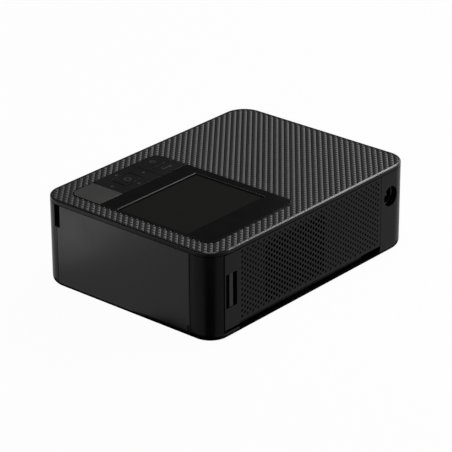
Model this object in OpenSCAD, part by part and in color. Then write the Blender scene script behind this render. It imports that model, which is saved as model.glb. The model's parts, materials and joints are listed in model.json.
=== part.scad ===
// Compact dye-sublimation photo printer, built from its separate pieces.
// Origin: centre of the footprint, on the surface the feet stand on. +Z is up.
// The front (paper side) faces -Y, the back (vents) +Y and the ink door +X.

/* [Body] */
// Overall width, from the left side to the ink door
body_w = 182.2; // [180:0.2:196]
// Overall depth, from front to back
body_d = 133; // [131:0.5:146]
// Overall height, with the feet
body_h = 57.6; // [57:0.2:66]
// Radius of the four upright corners
corner_r = 14; // [12:0.5:16]
// Round of the top edge
top_edge_r = 1.4; // [0.8:0.1:1.8]
// Round of the bottom edge
bottom_edge_r = 5; // [4:0.5:5.5]
// Thickness of the case walls
wall = 2.2; // [1.8:0.1:2.6]
// Height of the top cover's rim
lid_rim = 2.8; // [2.6:0.1:3.2]
// Thickness of the top cover's plate
lid_t = 2; // [1.6:0.1:2.2]
// Dark seam under the top cover
seam_gap = 0.3; // [0.2:0.05:0.5]
// Thickness of the base tray's floor
tray_floor = 2; // [1.6:0.1:2.2]
// Height of the tray's upper edge above the surface
tray_top = 6.1; // [5.8:0.1:6.6]

/* [Feet and screws] */
// Height that the feet stand out of the tray
foot_h = 1; // [0.8:0.1:1.4]
// Radius of a foot
foot_r = 6; // [4:0.5:8]
// Depth of the pocket that holds a foot
foot_pocket = 0.6; // [0.4:0.1:0.8]
// Distance of the feet from the sides
foot_inset = 25; // [22:1:32]
// Radius of the case screws
screw_r = 1.5; // [1:0.1:1.8]
// Radius of the case screws' heads
screw_head_r = 2.8; // [2.4:0.1:3]
// Height of the screw bosses above the tray
boss_h = 14; // [10:1:18]

/* [Control panel] */
// Width of the control panel
panel_w = 76; // [75:0.5:80]
// Depth of the control panel with its keys
panel_d = 108.5; // [106:0.5:110]
// Corner radius of the control panel
panel_r = 6.5; // [4:0.5:8]
// Distance of the panel from the right side
panel_right = 12.2; // [11:0.2:14]
// Distance of the panel from the back
panel_back = 12.5; // [11:0.5:14]
// Depth of the strip that holds the keys
strip_d = 24.5; // [22:0.5:26]
// Width of the display window
window_w = 68.5; // [64:0.5:70]
// Depth of the display window
window_d = 53.5; // [48:0.5:56]
// Distance of the window from the panel's right edge
window_right = 1.5; // [1.5:0.1:3]
// Distance of the window from the panel's back edge
window_back = 18; // [14:0.5:20]
// How far the window lies below the panel
window_recess = 0.8; // [0.5:0.1:0.9]
// Thickness of the display module
display_t = 3.2; // [2.6:0.1:3.4]

/* [Keys] */
// Width of the back and power keys
left_key_w = 22; // [20:0.5:23]
// Width of the print key
print_key_w = 20; // [18:0.5:22]
// Depth of the power key
power_key_d = 12.5; // [11:0.25:13]
// Width of the OK key
ok_w = 15; // [12:0.5:17]
// Depth of the OK key
ok_d = 11; // [9:0.5:13]
// Gap round each key
key_gap = 0.35; // [0.3:0.05:0.5]
// Gap round the OK key
ok_gap = 0.6; // [0.5:0.1:0.8]
// How far a key can be pressed
key_travel = 0.6; // [0.4:0.1:0.6]
// Radius of a key's stem
stem_r = 1.5; // [1:0.1:1.8]

/* [Vent panel] */
// Distance of the vent panel from the right side
vent_right = 10.5; // [10:0.5:12]
// Width of the vent panel
vent_w = 143.3; // [140:0.5:146]
// Height of the paper slot under the vent panel
slot_h = 3; // [2.4:0.1:3.6]
// How far the slot is cut down into the base tray
slot_dip = 1.6; // [0.8:0.1:2]
// Spacing of the lattice along the panel
vent_pitch_x = 4.74; // [4.4:0.02:5]
// Spacing of the lattice up the panel
vent_pitch_z = 3.37; // [3.2:0.01:3.6]
// Diameter of the through-holes
vent_hole_d = 2; // [1.4:0.1:2.2]
// Columns of through-holes in front of the fan
vent_columns = 23; // [15:1:25]
// Rows of through-holes in front of the fan
vent_rows = 22; // [16:1:22]
// Width of the pocket for the lock bar
pocket_w = 9.4; // [8:0.2:10]
// Height of the pocket for the lock bar
pocket_h = 21; // [18:0.5:22]
// Depth of the pocket for the lock bar
pocket_depth = 4.5; // [3.5:0.5:6]
// Width of the lock bar
lock_bar_w = 3; // [2:0.2:3.6]

/* [Power inlet] */
// Radius of the inlet's opening
inlet_r = 6.4; // [5.6:0.1:6.8]
// Depth of the inlet's cup behind the wall
inlet_depth = 8; // [6:0.5:8.5]
// Distance of the inlet from the left side
inlet_left = 18.9; // [18:0.1:20]
// Radius of the contact pin
inlet_pin_r = 1; // [0.6:0.1:1.2]

/* [Doors] */
// Distance of the ink door's front edge from the front
door_front = 13; // [12.5:0.5:15]
// Distance of the ink door's rear edge from the back
door_rear = 16.7; // [15:0.5:18]
// Height of the ink door's lower edge
door_bottom = 2.4; // [2.3:0.1:2.8]
// Gap round both doors
door_gap = 0.3; // [0.25:0.05:0.4]
// Thickness of both doors
door_t = 2.6; // [2.4:0.1:2.8]
// Radius of both doors' hinge pins
hinge_pin_r = 0.7; // [0.5:0.05:0.75]
// Width of the front cover
cover_w = 115; // [110:0.5:118]
// Height of the front cover's upper edge
cover_top = 36; // [34:0.5:38]

/* [Print mechanism] */
// Distance of the paper's centre line from the right side
paper_right = 81.75; // [81:0.25:84]
// Length of the rollers that carry the paper
roller_w = 110; // [104:1:112]
// Width of the ribbon
ribbon_w = 104; // [100:1:108]
// Thickness of the chassis plates
plate_t = 1.2; // [1:0.1:1.5]
// Depth of the ink bay between the right side and the chassis
bay_w = 12.9; // [12.6:0.1:14]
// Width of the electronics bay between the left side and the chassis
electronics_w = 31.9; // [31.5:0.1:34]
// Radius of the platen roller
platen_r = 5; // [4.5:0.1:5]
// Radius of the capstan roller
capstan_r = 3; // [2.8:0.1:3]
// Radius of the pinch roller
pinch_r = 3; // [2.8:0.1:3]
// Radius of the pick-up roller
pickup_r = 7; // [6:0.25:7]
// Radius of the roller shafts
shaft_r = 2; // [1.8:0.1:2.1]
// Radius of the pinch roller's shaft
pinch_shaft_r = 1.5; // [1.2:0.1:1.6]
// Wall of the bushes
bush_wall = 1.1; // [0.8:0.1:1.1]
// Running clearance of shafts in their bushes
run_clear = 0.05; // [0.03:0.01:0.08]
// Outer radius of the ink cassette's tubes
tube_r = 12.2; // [12:0.1:12.6]
// Wall of the ink cassette's tubes
tube_wall = 1.2; // [0.8:0.1:1.4]
// Radius of the full supply roll
supply_roll_r = 10; // [7:0.5:10.5]
// Radius of the take-up roll
takeup_roll_r = 7.5; // [6:0.5:10]
// Angle that the head is lifted by when parked
head_lift = 15; // [10:1:15]

/* [Gears and fan] */
// Tooth module of the gears
gear_module = 0.8; // [0.76:0.01:0.8]
// Teeth of the idler gears
idler_teeth = 30; // [28:1:30]
// Teeth of the capstan gear
capstan_teeth = 16; // [14:1:16]
// Teeth of the pick-up gear
pickup_teeth = 20; // [18:1:20]
// Teeth of the take-up gear
takeup_teeth = 32; // [28:1:32]
// Teeth of both motor pinions
pinion_teeth = 12; // [12:1:13]
// Width of the gears
gear_w = 4; // [3:0.5:4.5]
// Side of the square fan
fan_size = 35; // [32:1:36]
// Thickness of the fan
fan_t = 10; // [8:0.5:10]
// Number of fan blades
fan_blades = 7; // [5:1:9]

/* [Hidden] */
$fn = 48;
EPS = 0.01;

// Levels
half_w = body_w / 2;
half_d = body_d / 2;
floor_top = foot_h + tray_floor;
lid_bottom = body_h - lid_rim;
lid_under = body_h - lid_t;
case_top = lid_bottom - seam_gap;

// Paper and chassis
paper_x = half_w - paper_right;
chassis_left = -half_w + electronics_w + plate_t;
chassis_right = half_w - bay_w - plate_t;
chassis_reach = half_d - 14.5;
chassis_top = body_h - 9.6;
gear_plate_gap = 7.3;
gear_plate_t = 1;
gear_plate_x = chassis_left - plate_t - gear_plate_gap;
gear_x = chassis_left - plate_t - 1.3 - gear_w;
shaft_left = gear_plate_x + 0.2;

// Roller places, as [y, z]
platen_at = [2, floor_top + 10];
capstan_at = [17, floor_top + 8.2];
nip_gap = 0.4;
pinch_at = [capstan_at[0], capstan_at[1] + capstan_r + nip_gap + pinch_r];

// Gear train: each gear lies at a distance and an angle from the one before
gear_play = 0.1;
pressure_angle = 20;
function gear_distance(n1, n2) = gear_module * (n1 + n2) / 2 + gear_play;
function beside(at, distance, angle) = at + distance * [cos(angle), sin(angle)];
idler_a_angle = 155;
idler_b_angle = 165;
pickup_angle = 165;
feed_motor_angle = 45;
ribbon_motor_angle = -50;
idler_a_at = beside(capstan_at, gear_distance(capstan_teeth, idler_teeth), idler_a_angle);
idler_b_at = beside(idler_a_at, gear_distance(idler_teeth, idler_teeth), idler_b_angle);
pickup_at = beside(idler_b_at, gear_distance(idler_teeth, pickup_teeth), pickup_angle);
feed_at = beside(idler_b_at, gear_distance(idler_teeth, pinion_teeth), feed_motor_angle);
takeup_at = [34, floor_top + 30];
supply_at = [-22, floor_top + 30];
ribbon_at = beside(takeup_at, gear_distance(takeup_teeth, pinion_teeth), ribbon_motor_angle);
head_pivot = [17, chassis_top - 8];

// Angle of a gear's first tooth that meshes with a neighbour of n1 teeth at phase1
function meshed(phase1, n1, n2, angle) =
    angle + 180 - (0.5 - (angle - phase1) * n1 / 360) * 360 / n2;
capstan_phase = 0;
idler_a_phase = meshed(capstan_phase, capstan_teeth, idler_teeth, idler_a_angle);
idler_b_phase = meshed(idler_a_phase, idler_teeth, idler_teeth, idler_b_angle);
pickup_phase = meshed(idler_b_phase, idler_teeth, pickup_teeth, pickup_angle);
feed_phase = meshed(idler_b_phase, idler_teeth, pinion_teeth, feed_motor_angle);
takeup_phase = 0;
ribbon_phase = meshed(takeup_phase, takeup_teeth, pinion_teeth, ribbon_motor_angle);
idler_axle_r = 1.5;
pinion_shaft_r = 1;
motor_length = 12.5;
feed_motor_r = 11;
ribbon_motor_r = 8;

// Control panel
panel_x1 = half_w - panel_right;
panel_x0 = panel_x1 - panel_w;
panel_y1 = half_d - panel_back;
panel_y0 = panel_y1 - panel_d;
flange = 2;
flange_t = 1.4;
flange_bottom = lid_under - flange_t;
window_x1 = panel_x1 - window_right;
window_x0 = window_x1 - window_w;
window_y1 = panel_y1 - window_back;
window_y0 = window_y1 - window_d;
window_ledge = 2;
strip_y1 = panel_y0 + strip_d;
cap_t = 1.3;
stem_clear = 0.5;
clip_t = 0.5;
clip_gap = 0.1;
clip_bottom = flange_bottom - clip_gap - clip_t;
switch_gap = 0.1;
switch_h = 0.8;
board_t = 1.6;
board_top = clip_bottom - key_travel - switch_gap - switch_h;
switch_size = 4;
pad_x0 = panel_x0 + left_key_w;
pad_x1 = panel_x1 - print_key_w;
pad_at = [(pad_x0 + pad_x1) / 2, panel_y0 + strip_d / 2];
left_key_x = panel_x0 + left_key_w / 2;
print_key_x = panel_x1 - print_key_w / 2;
key_split = panel_y0 + power_key_d;
power_key_y = panel_y0 + power_key_d / 2;
back_key_y = (key_split + strip_y1) / 2;
carrier_t = 0.3;
carrier_z = lid_under + 0.2;
carrier_size = [16, 16];
ok_cap_t = 0.7;
pad_t = 1;
pad_reach = [11.5, 8.5];
board_post_r = 2;

// Vent panel, slot and inlet
vent_x1 = half_w - vent_right;
vent_x0 = vent_x1 - vent_w;
vent_bottom = tray_top + slot_h;
vent_t = wall;
vent_fit = 0.4;
vent_top = case_top - 0.2;
vent_ledge = 3;
vent_plain_w = 12.5;
vent_plain_drop = 1.3;
fan_at = [half_w - 72.75, (vent_bottom + case_top) / 2 - 0.7];
pocket_x1 = half_w - 11.5;
pocket_top = body_h - 15.5;
pocket_wall = 1.2;
inlet_at = [-half_w + inlet_left, body_h - 18.8];
inlet_wall = 1;

// Doors
door_y0 = -half_d + door_front;
door_y1 = half_d - door_rear;
door_nose_r = door_t / 2;
door_axis = [half_w - door_nose_r, door_y1 - door_gap - door_nose_r];
lug_h = 3;
lug_gap = 0.5;
pin_in_lid = 1.5;
cover_x0 = paper_x - cover_w / 2;
cover_x1 = paper_x + cover_w / 2;
cover_axis = [-half_d + door_nose_r, tray_top + door_gap + door_nose_r];
cover_pin_l = 4;
bay_x1 = half_w - door_t - door_gap;
bay_wall = 2.2;
bay_x0 = bay_x1 - bay_wall;
bay_reach = half_d - 8.5;
notch_y0 = -half_d + 11;
notch_y1 = -half_d + 15.5;
notch_z0 = body_h - 17;
notch_depth = 3.4;

// Ink cassette
tube_left = chassis_left + 4;
tube_right = chassis_right + plate_t + 1.8;
end_t = 2;
grip_t = 4;
grip_lip = 0.8;
hub_r = 3;
journal_r = 2.5;
core_r = 5;
bridge_z0 = floor_top + 18.5;
bridge_z1 = floor_top + 24;
seat_gap = 0.3;
film_t = 0.2;
film_z = platen_at[1] + platen_r + 0.4;
latch_at = [-41, case_top - 9.5];
latch_t = 1.2;
latch_post_r = 1.5;
latch_x = tube_right + grip_t + 0.3;

// ---- Shared shapes -------------------------------------------------------------------

// Rectangle from one corner to the other
module span2(a, b) {
    translate(a)
        square(b - a);
}

// Box from one corner to the other
module span(a, b) {
    translate(a)
        cube(b - a);
}

// Outline turned so that its x and y become the printer's y and z, from x0 to x1
module along_x(x0, x1) {
    translate([x0, 0, 0])
        rotate([90, 0, 90])
            linear_extrude(x1 - x0)
                children();
}

// Outline turned so that its x and y become the printer's x and z, from y0 to y1
module along_y(y0, y1) {
    translate([0, y1, 0])
        rotate([90, 0, 0])
            linear_extrude(y1 - y0)
                children();
}

// Round bar along X at a place [y, z]
module bar_x(at, r, x0, x1) {
    translate([x0, at[0], at[1]])
        rotate([0, 90, 0])
            cylinder(r = r, h = x1 - x0);
}

// Round bar along Y at a place [x, z]
module bar_y(at, r, y0, y1) {
    translate([at[0], y1, at[1]])
        rotate([90, 0, 0])
            cylinder(r = r, h = y1 - y0);
}

// Round bar along Z at a place [x, y]
module bar_z(at, r, z0, z1) {
    translate([at[0], at[1], z0])
        cylinder(r = r, h = z1 - z0);
}

// Rectangle with round corners, from one corner to the other
module round_span2(a, b, r) {
    span2([a[0] + r, a[1]], [b[0] - r, b[1]]);
    span2([a[0], a[1] + r], [b[0], b[1] - r]);
    for (x = [a[0] + r, b[0] - r], y = [a[1] + r, b[1] - r])
        translate([x, y])
            circle(r);
}

// Right half of the body's section: flat sides, with rounds at the foot and at the top
module half_section(reach, z0, z1, foot_round, top_round) {
    span2([0, z0], [reach - foot_round, z1 - top_round]);
    span2([0, z0 + foot_round], [reach, z1 - top_round]);
    span2([0, z0 + foot_round], [reach - top_round, z1]);
    intersection() {
        translate([reach - foot_round, z0 + foot_round])
            circle(foot_round);
        span2([reach - foot_round, z0], [reach, z0 + foot_round]);
    }
    intersection() {
        translate([reach - top_round, z1 - top_round])
            circle(top_round);
        span2([reach - top_round, z1 - top_round], [reach, z1]);
    }
}

// Body outline drawn in by an inset, with its rounded edges
module soft_block(inset, z0, z1, foot_round, top_round) {
    r = corner_r - inset;
    reach_x = half_w - corner_r;
    reach_y = half_d - corner_r;
    for (turn = [0, 180])
        rotate([0, 0, turn]) {
            translate([-reach_x, 0, 0])
                rotate([90, 0, 90])
                    linear_extrude(2 * reach_x)
                        half_section(half_d - inset, z0, z1, foot_round, top_round);
            translate([reach_x, reach_y, 0])
                rotate([90, 0, 0])
                    linear_extrude(2 * reach_y)
                        half_section(r, z0, z1, foot_round, top_round);
            for (side = [-1, 1])
                translate([reach_x, side * reach_y, 0])
                    rotate([0, 0, side < 0 ? -90 : 0])
                        rotate_extrude(angle = 90)
                            half_section(r, z0, z1, foot_round, top_round);
        }
}

// Body outline drawn in by an inset, with square edges
module plain_block(inset, z0, z1) {
    translate([0, 0, z0])
        linear_extrude(z1 - z0)
            round_span2([-half_w + inset, -half_d + inset], [half_w - inset, half_d - inset],
                corner_r - inset);
}

// Whole outer form of the body
module outer_form() {
    soft_block(0, foot_h, body_h, bottom_edge_r, top_edge_r);
}

// ---- Gears ---------------------------------------------------------------------------

tooth_tip = 0.94;
tooth_root = 1.25;
tooth_play = 0.07;
root_share = 0.8;
function involute_angle(a) = tan(a) * 180 / PI - a;
// Half the angle that a tooth spans at radius r
function tooth_half(n, pitch_r, r) =
    90 / n - tooth_play / pitch_r * 180 / PI
    + involute_angle(pressure_angle)
    - involute_angle(acos(min(1, pitch_r * cos(pressure_angle) / r)));
function polar(r, a) = r * [cos(a), sin(a)];

// Spur gear along X at a place [y, z], with a bore and its first tooth at a phase angle
module gear(at, n, phase, bore_r, x0, width) {
    pitch_r = gear_module * n / 2;
    base_r = pitch_r * cos(pressure_angle);
    tip_r = pitch_r + tooth_tip * gear_module;
    root_r = pitch_r - tooth_root * gear_module;
    flank = [base_r + 0.02, pitch_r, (pitch_r + tip_r) / 2, tip_r];
    root_half = root_share * tooth_half(n, pitch_r, base_r + 0.02);
    points = [
        for (i = [0 : n - 1])
            let (a = phase + i * 360 / n)
            each concat(
                [polar(root_r, a - root_half)],
                [for (r = flank) polar(r, a - tooth_half(n, pitch_r, r))],
                [for (k = [3 : -1 : 0]) polar(flank[k], a + tooth_half(n, pitch_r, flank[k]))],
                [polar(root_r, a + root_half)]
            )
    ];
    difference() {
        along_x(x0, x0 + width)
            translate(at)
                polygon(points);
        bar_x(at, bore_r, x0 - 1, x0 + width + 1);
    }
}

// ---- Shell ---------------------------------------------------------------------------

// Space that the ink door takes out of the shell, with its gap
module door_space() {
    span([bay_x1, door_y0, door_bottom - door_gap], [half_w + 1, door_y1, lid_bottom]);
}

// Places of the case screws
module at_screws() {
    reach = 6 * cos(45);
    for (x = [-1, 1], y = [-1, 1])
        translate([x * (half_w - corner_r + reach), y * (half_d - corner_r + reach), 0])
            children();
}

module at_feet() {
    for (x = [-1, 1], y = [-1, 1])
        translate([x * (half_w - foot_inset), y * (half_d - foot_inset + 5), 0])
            children();
}

boss_r = screw_r + 1.7;
head_pocket = 1.6;

module base_tray() {
    color("#141416")
        difference() {
            intersection() {
                outer_form();
                span([-half_w, -half_d, 0], [half_w, half_d, tray_top]);
            }
            difference() {
                plain_block(wall, floor_top, tray_top + 1);
                span([bay_x0, -bay_reach, 0], [bay_x1, bay_reach, tray_top]);
                at_screws()
                    cylinder(r = boss_r, h = tray_top);
                for (y = [-board_rail_y, board_rail_y])
                    span([board_x0 - 1.4, y - 3, 0], [board_x1 + 1.4, y + 3, tray_top]);
            }
            door_space();
            span([vent_x0, half_d - wall - 0.5, tray_top - slot_dip],
                [vent_x1 - vent_plain_w, half_d + 1, tray_top + 1]);
            span([board_x0, -board_rail_y - 4, board_bottom],
                [board_x1, board_rail_y + 4, tray_top + 1]);
            at_feet()
                cylinder(r = foot_r, h = foot_h + foot_pocket);
            at_screws() {
                cylinder(r = screw_r, h = tray_top + 1);
                cylinder(r = screw_head_r, h = foot_h + head_pocket);
            }
        }
}

module rubber_feet() {
    color("#202020")
        at_feet()
            cylinder(r = foot_r, h = foot_h + foot_pocket);
}

module case_screws() {
    color("#8c8c90")
        at_screws() {
            translate([0, 0, foot_h + head_pocket])
                cylinder(r = screw_r, h = tray_top + boss_h - foot_h - head_pocket - 2);
            translate([0, 0, foot_h + 0.2])
                cylinder(r = screw_head_r, h = head_pocket - 0.2);
        }
}

// Ledges that the vent panel rests on, cut clear of its pocket
module vent_ledges() {
    difference() {
        for (x = [[vent_x0 - 1.5, vent_x0 + vent_ledge], [vent_x1 - vent_ledge, vent_x1 + 1.5]])
            span([x[0], half_d - wall - 2, vent_bottom], [x[1], half_d - wall, case_top]);
        span([pocket_x1 - pocket_w, half_d - 6, pocket_top - pocket_h - pocket_wall - 0.3],
            [vent_x1 + 1, half_d, pocket_top + pocket_wall + 0.3]);
    }
}

// Wall behind the ink door, with the opening that the ink cassette passes
module bay_frame() {
    difference() {
        span([bay_x0, -bay_reach, tray_top], [bay_x1, bay_reach, case_top]);
        span([bay_x0 - 1, supply_at[0] - tube_r - 2.5, supply_at[1] - tube_r - 2.5],
            [bay_x1 + 1, takeup_at[0] + tube_r + 2.5, supply_at[1] + tube_r + 4.5]);
    }
}

// Lug at the foot of the ink door's hinge
module door_lug() {
    bar_z(door_axis, door_nose_r, tray_top, tray_top + lug_h);
    span([bay_x0, door_axis[1] - door_nose_r, tray_top],
        [door_axis[0], door_axis[1] + door_nose_r, tray_top + lug_h]);
}

// Lugs at both ends of the front cover's hinge
module cover_lugs() {
    for (x = [cover_x0 - 6, cover_x1])
        span([x, -half_d + 0.5, tray_top], [x + 6, -half_d + 4, cover_axis[1] + 3]);
}

module outer_case() {
    color("#18181a")
        difference() {
            union() {
                difference() {
                    intersection() {
                        outer_form();
                        span([-half_w, -half_d, tray_top], [half_w, half_d, case_top]);
                    }
                    plain_block(wall, tray_top - 1, case_top + 1);
                    door_space();
                    span([cover_x0, -half_d - 1, tray_top - 1],
                        [cover_x1, -half_d + wall + 1, cover_top]);
                    span([vent_x0 - vent_fit, half_d - wall - 1, tray_top - 1],
                        [vent_x1 + vent_fit, half_d + 1, case_top + 1]);
                }
                difference() {
                    plain_block(wall - 1, case_top - 2, lid_bottom);
                    plain_block(wall, case_top - 3, lid_bottom + 1);
                    span([cover_x0, -half_d - 1, 0], [cover_x1, -half_d + 5, cover_top]);
                    span([vent_x0 - vent_fit, half_d - wall - 1, 0],
                        [vent_x1 + vent_fit, half_d + 1, lid_bottom + 1]);
                    door_space();
                }
                vent_ledges();
                bay_frame();
                door_lug();
                cover_lugs();
                bar_x(latch_at, latch_post_r, latch_x - 0.2, bay_x0 + EPS);
                at_screws()
                    translate([0, 0, tray_top])
                        cylinder(r = boss_r, h = boss_h);
                screw_ribs();
            }
            at_screws()
                cylinder(r = screw_r, h = tray_top + boss_h - 1);
            bar_z(door_axis, hinge_pin_r, tray_top + 0.3, case_top);
            for (x = [cover_x0 - cover_pin_l, cover_x1 - 1])
                bar_x(cover_axis, hinge_pin_r, x, x + cover_pin_l + 1);
            bar_y(inlet_at, inlet_r, half_d - wall - 1, half_d + 1);
            span([half_w - notch_depth, notch_y0, notch_z0], [half_w + 1, door_y0 + EPS, case_top]);
            card_body(card_fit);
            usb_body(card_fit);
        }
}

// Ribs that tie the screw bosses to the corners
module screw_ribs() {
    for (x = [-1, 1], y = [-1, 1])
        translate([x * (half_w - corner_r), y * (half_d - corner_r), tray_top])
            rotate([0, 0, atan2(y, x)])
                translate([6 + screw_r, -0.8, 0])
                    cube([corner_r - wall - 6 - screw_r + 0.6, 1.6, boss_h]);
}

module top_cover() {
    color("#2b2b2d")
        difference() {
            intersection() {
                outer_form();
                span([-half_w, -half_d, lid_bottom], [half_w, half_d, body_h]);
            }
            plain_block(wall, lid_bottom - 1, lid_under);
            translate([0, 0, lid_bottom])
                linear_extrude(lid_rim + 1)
                    panel_outline(0);
            bar_z(door_axis, hinge_pin_r, lid_bottom - 1, lid_bottom + pin_in_lid);
        }
}

// ---- Control panel and keys ----------------------------------------------------------

module panel_outline(inset) {
    round_span2([panel_x0 + inset, panel_y0 + inset], [panel_x1 - inset, panel_y1 - inset],
        panel_r - inset);
}

// Stem places of the keys, as [x, y]
stems = [
    [left_key_x, back_key_y],
    [left_key_x, power_key_y],
    [print_key_x, pad_at[1]],
    pad_at,
];
pad_stems = [
    for (s = [[1, 0], [-1, 0], [0, 1], [0, -1]])
        [pad_at[0] + s[0] * pad_reach[0], pad_at[1] + s[1] * pad_reach[1]]
];
board_posts = [
    for (x = [panel_x0 + 3, panel_x1 - 3], y = [panel_y0 + 2.6, strip_y1 - 3])
        [x, y]
];

module control_panel() {
    color("#1a1a1c")
        difference() {
            union() {
                translate([0, 0, flange_bottom])
                    linear_extrude(flange_t)
                        round_span2([panel_x0 - flange, panel_y0 - flange],
                            [panel_x1 + flange, panel_y1 + flange], panel_r);
                translate([0, 0, lid_under - EPS])
                    linear_extrude(lid_t + EPS)
                        intersection() {
                            panel_outline(0.1);
                            span2([panel_x0, strip_y1], [panel_x1, panel_y1]);
                        }
                for (p = board_posts)
                    bar_z(p, board_post_r, board_top, flange_bottom + EPS);
            }
            span([window_x0, window_y0, lid_under], [window_x1, window_y1, body_h + 1]);
            span([window_x0 + window_ledge, window_y0 + window_ledge, flange_bottom - 1],
                [window_x1 - window_ledge, window_y1 - window_ledge, body_h]);
            for (p = concat(stems, pad_stems))
                bar_z(p, stem_r + stem_clear, flange_bottom - 1, lid_under + 1);
        }
}

module display_window() {
    color("#101214")
        span([window_x0, window_y0, lid_under], [window_x1, window_y1, body_h - window_recess]);
}

module display_module() {
    color("#3c4046")
        span([window_x0 + 1, window_y0 + 1, flange_bottom - display_t],
            [window_x1 - 1, window_y1 - 1, flange_bottom]);
}

module button_board() {
    color("#1f5c36")
        span([panel_x0 + 1, panel_y0 + 0.6, board_top - board_t],
            [panel_x1 - 1, strip_y1 - 1, board_top]);
}

module key_switches() {
    color("#c8c8cc")
        for (p = concat(stems, pad_stems))
            span([p[0] - switch_size / 2, p[1] - switch_size / 2, board_top],
                [p[0] + switch_size / 2, p[1] + switch_size / 2, board_top + switch_h]);
}

// Key cap over a part of the strip, with its stem and the clip under the panel
module key(a, b, stem, thickness = cap_t) {
    translate([0, 0, body_h - thickness])
        linear_extrude(thickness)
            intersection() {
                panel_outline(0.15);
                span2(a, b);
            }
    bar_z(stem, stem_r, clip_bottom, body_h - thickness + EPS);
    bar_z(stem, stem_r + stem_clear + 0.6, clip_bottom, clip_bottom + clip_t);
}

module back_button() {
    color("#202022")
        key([panel_x0, key_split + key_gap / 2], [pad_x0 - key_gap / 2, strip_y1 - key_gap],
            stems[0]);
}

module power_button() {
    color("#202022")
        key([panel_x0, panel_y0], [pad_x0 - key_gap / 2, key_split - key_gap / 2], stems[1]);
}

module print_button() {
    color("#3e3e40")
        key([pad_x1 + key_gap / 2, panel_y0], [panel_x1, strip_y1 - key_gap], stems[2]);
}

module ok_button() {
    color("#1c1c1e")
        key(pad_at - [ok_w, ok_d] / 2, pad_at + [ok_w, ok_d] / 2, pad_at, ok_cap_t);
}

module arrow_pad() {
    color("#202022") {
        translate([0, 0, body_h - pad_t])
            linear_extrude(pad_t)
                difference() {
                    span2([pad_x0 + key_gap / 2, panel_y0 + 0.15],
                        [pad_x1 - key_gap / 2, strip_y1 - key_gap]);
                    span2(pad_at - [ok_w, ok_d] / 2 - [ok_gap, ok_gap],
                        pad_at + [ok_w, ok_d] / 2 + [ok_gap, ok_gap]);
                }
        for (p = pad_stems)
            bar_z(p, stem_r, clip_bottom, body_h - pad_t + EPS);
    }
}

// Thin plate that the arrow pad rocks on
module pad_carrier() {
    color("#a8aab0")
        difference() {
            translate([0, 0, carrier_z])
                linear_extrude(carrier_t)
                    difference() {
                        span2(pad_at - carrier_size / 2, pad_at + carrier_size / 2);
                        translate(pad_at)
                            circle(stem_r + stem_clear);
                    }
            for (p = pad_stems)
                bar_z(p, stem_r + stem_clear, carrier_z - 1, carrier_z + carrier_t + 1);
        }
}

// ---- Back ----------------------------------------------------------------------------

module vent_panel() {
    color("#222224")
        difference() {
            union() {
                along_y(half_d - vent_t, half_d)
                    difference() {
                        union() {
                            span2([vent_x0, vent_bottom], [vent_x1, vent_top]);
                            span2([vent_x1 - vent_plain_w, vent_bottom - vent_plain_drop],
                                [vent_x1, vent_bottom + EPS]);
                        }
                        vent_holes();
                    }
                span([pocket_x1 - pocket_w - pocket_wall, half_d - pocket_depth - pocket_wall,
                        pocket_top - pocket_h - pocket_wall],
                    [pocket_x1 + pocket_wall / 2, half_d - vent_t + EPS, pocket_top + pocket_wall]);
            }
            span([pocket_x1 - pocket_w, half_d - pocket_depth, pocket_top - pocket_h],
                [pocket_x1, half_d + 1, pocket_top]);
        }
}

// Staggered lattice of round holes in front of the fan
module vent_holes() {
    for (i = [0 : vent_columns - 1], j = [0 : vent_rows - 1])
        if ((i + j) % 2 == 0)
            translate([fan_at[0] + (i - (vent_columns - 1) / 2) * vent_pitch_x / 2,
                    fan_at[1] + (j - (vent_rows - 1) / 2) * vent_pitch_z / 2])
                circle(d = vent_hole_d);
}

module lock_bar() {
    middle = pocket_x1 - pocket_w / 2;
    color("#303032")
        span([middle - lock_bar_w / 2, half_d - pocket_depth, pocket_top - pocket_h],
            [middle + lock_bar_w / 2, half_d - 0.3, pocket_top]);
}

module power_inlet() {
    color("#3a3a3c")
        difference() {
            intersection() {
                bar_y(inlet_at, inlet_r + inlet_wall, half_d - wall - inlet_depth - 1.5,
                    half_d - wall);
                plain_block(wall, floor_top, lid_bottom);
            }
            bar_y(inlet_at, inlet_r, half_d - wall - inlet_depth, half_d);
        }
}

module inlet_pin() {
    color("#c9a24a")
        bar_y(inlet_at, inlet_pin_r, half_d - wall - inlet_depth, half_d - wall - 1.5);
}

// ---- Electronics ---------------------------------------------------------------------

board_x0 = -half_w + wall + 1.9;
board_x1 = board_x0 + 1.6;
board_reach = 48;
board_rail_y = 38;
board_bottom = floor_top + 2;
cable_high = board_top - board_t;
board_h = cable_high - 2.5 - board_bottom;
card_fit = 0.15;
usb_at = [-27, floor_top + 14.5];
usb_size = [12, 11];
usb_x1 = board_x1 + 6.4;
card_x1 = chassis_left - plate_t - 0.4;
card_x0 = card_x1 - 25;
card_z = body_h - 6.8;
card_h = 3.6;
card_depth = 24.5;

// Outer form of the USB port, widened by a fit
module usb_body(fit) {
    span([-half_w - fit * 2, usb_at[0] - usb_size[0] / 2 - fit, usb_at[1] - usb_size[1] / 2 - fit],
        [usb_x1, usb_at[0] + usb_size[0] / 2 + fit, usb_at[1] + usb_size[1] / 2 + fit]);
}

module usb_port() {
    color("#b9bbc0")
        difference() {
            intersection() {
                usb_body(0);
                span([-half_w + 0.3, -half_d, 0], [0, half_d, body_h]);
            }
            difference() {
                span([-half_w - 1, usb_at[0] - 4.2, usb_at[1] - 3.9],
                    [usb_x1 - 2, usb_at[0] + 4.2, usb_at[1] + 3.9]);
                span([-half_w + 1.5, usb_at[0] - 2.8, usb_at[1] - 1.6],
                    [usb_x1, usb_at[0] + 2.8, usb_at[1] + 1.6]);
            }
        }
}

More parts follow.
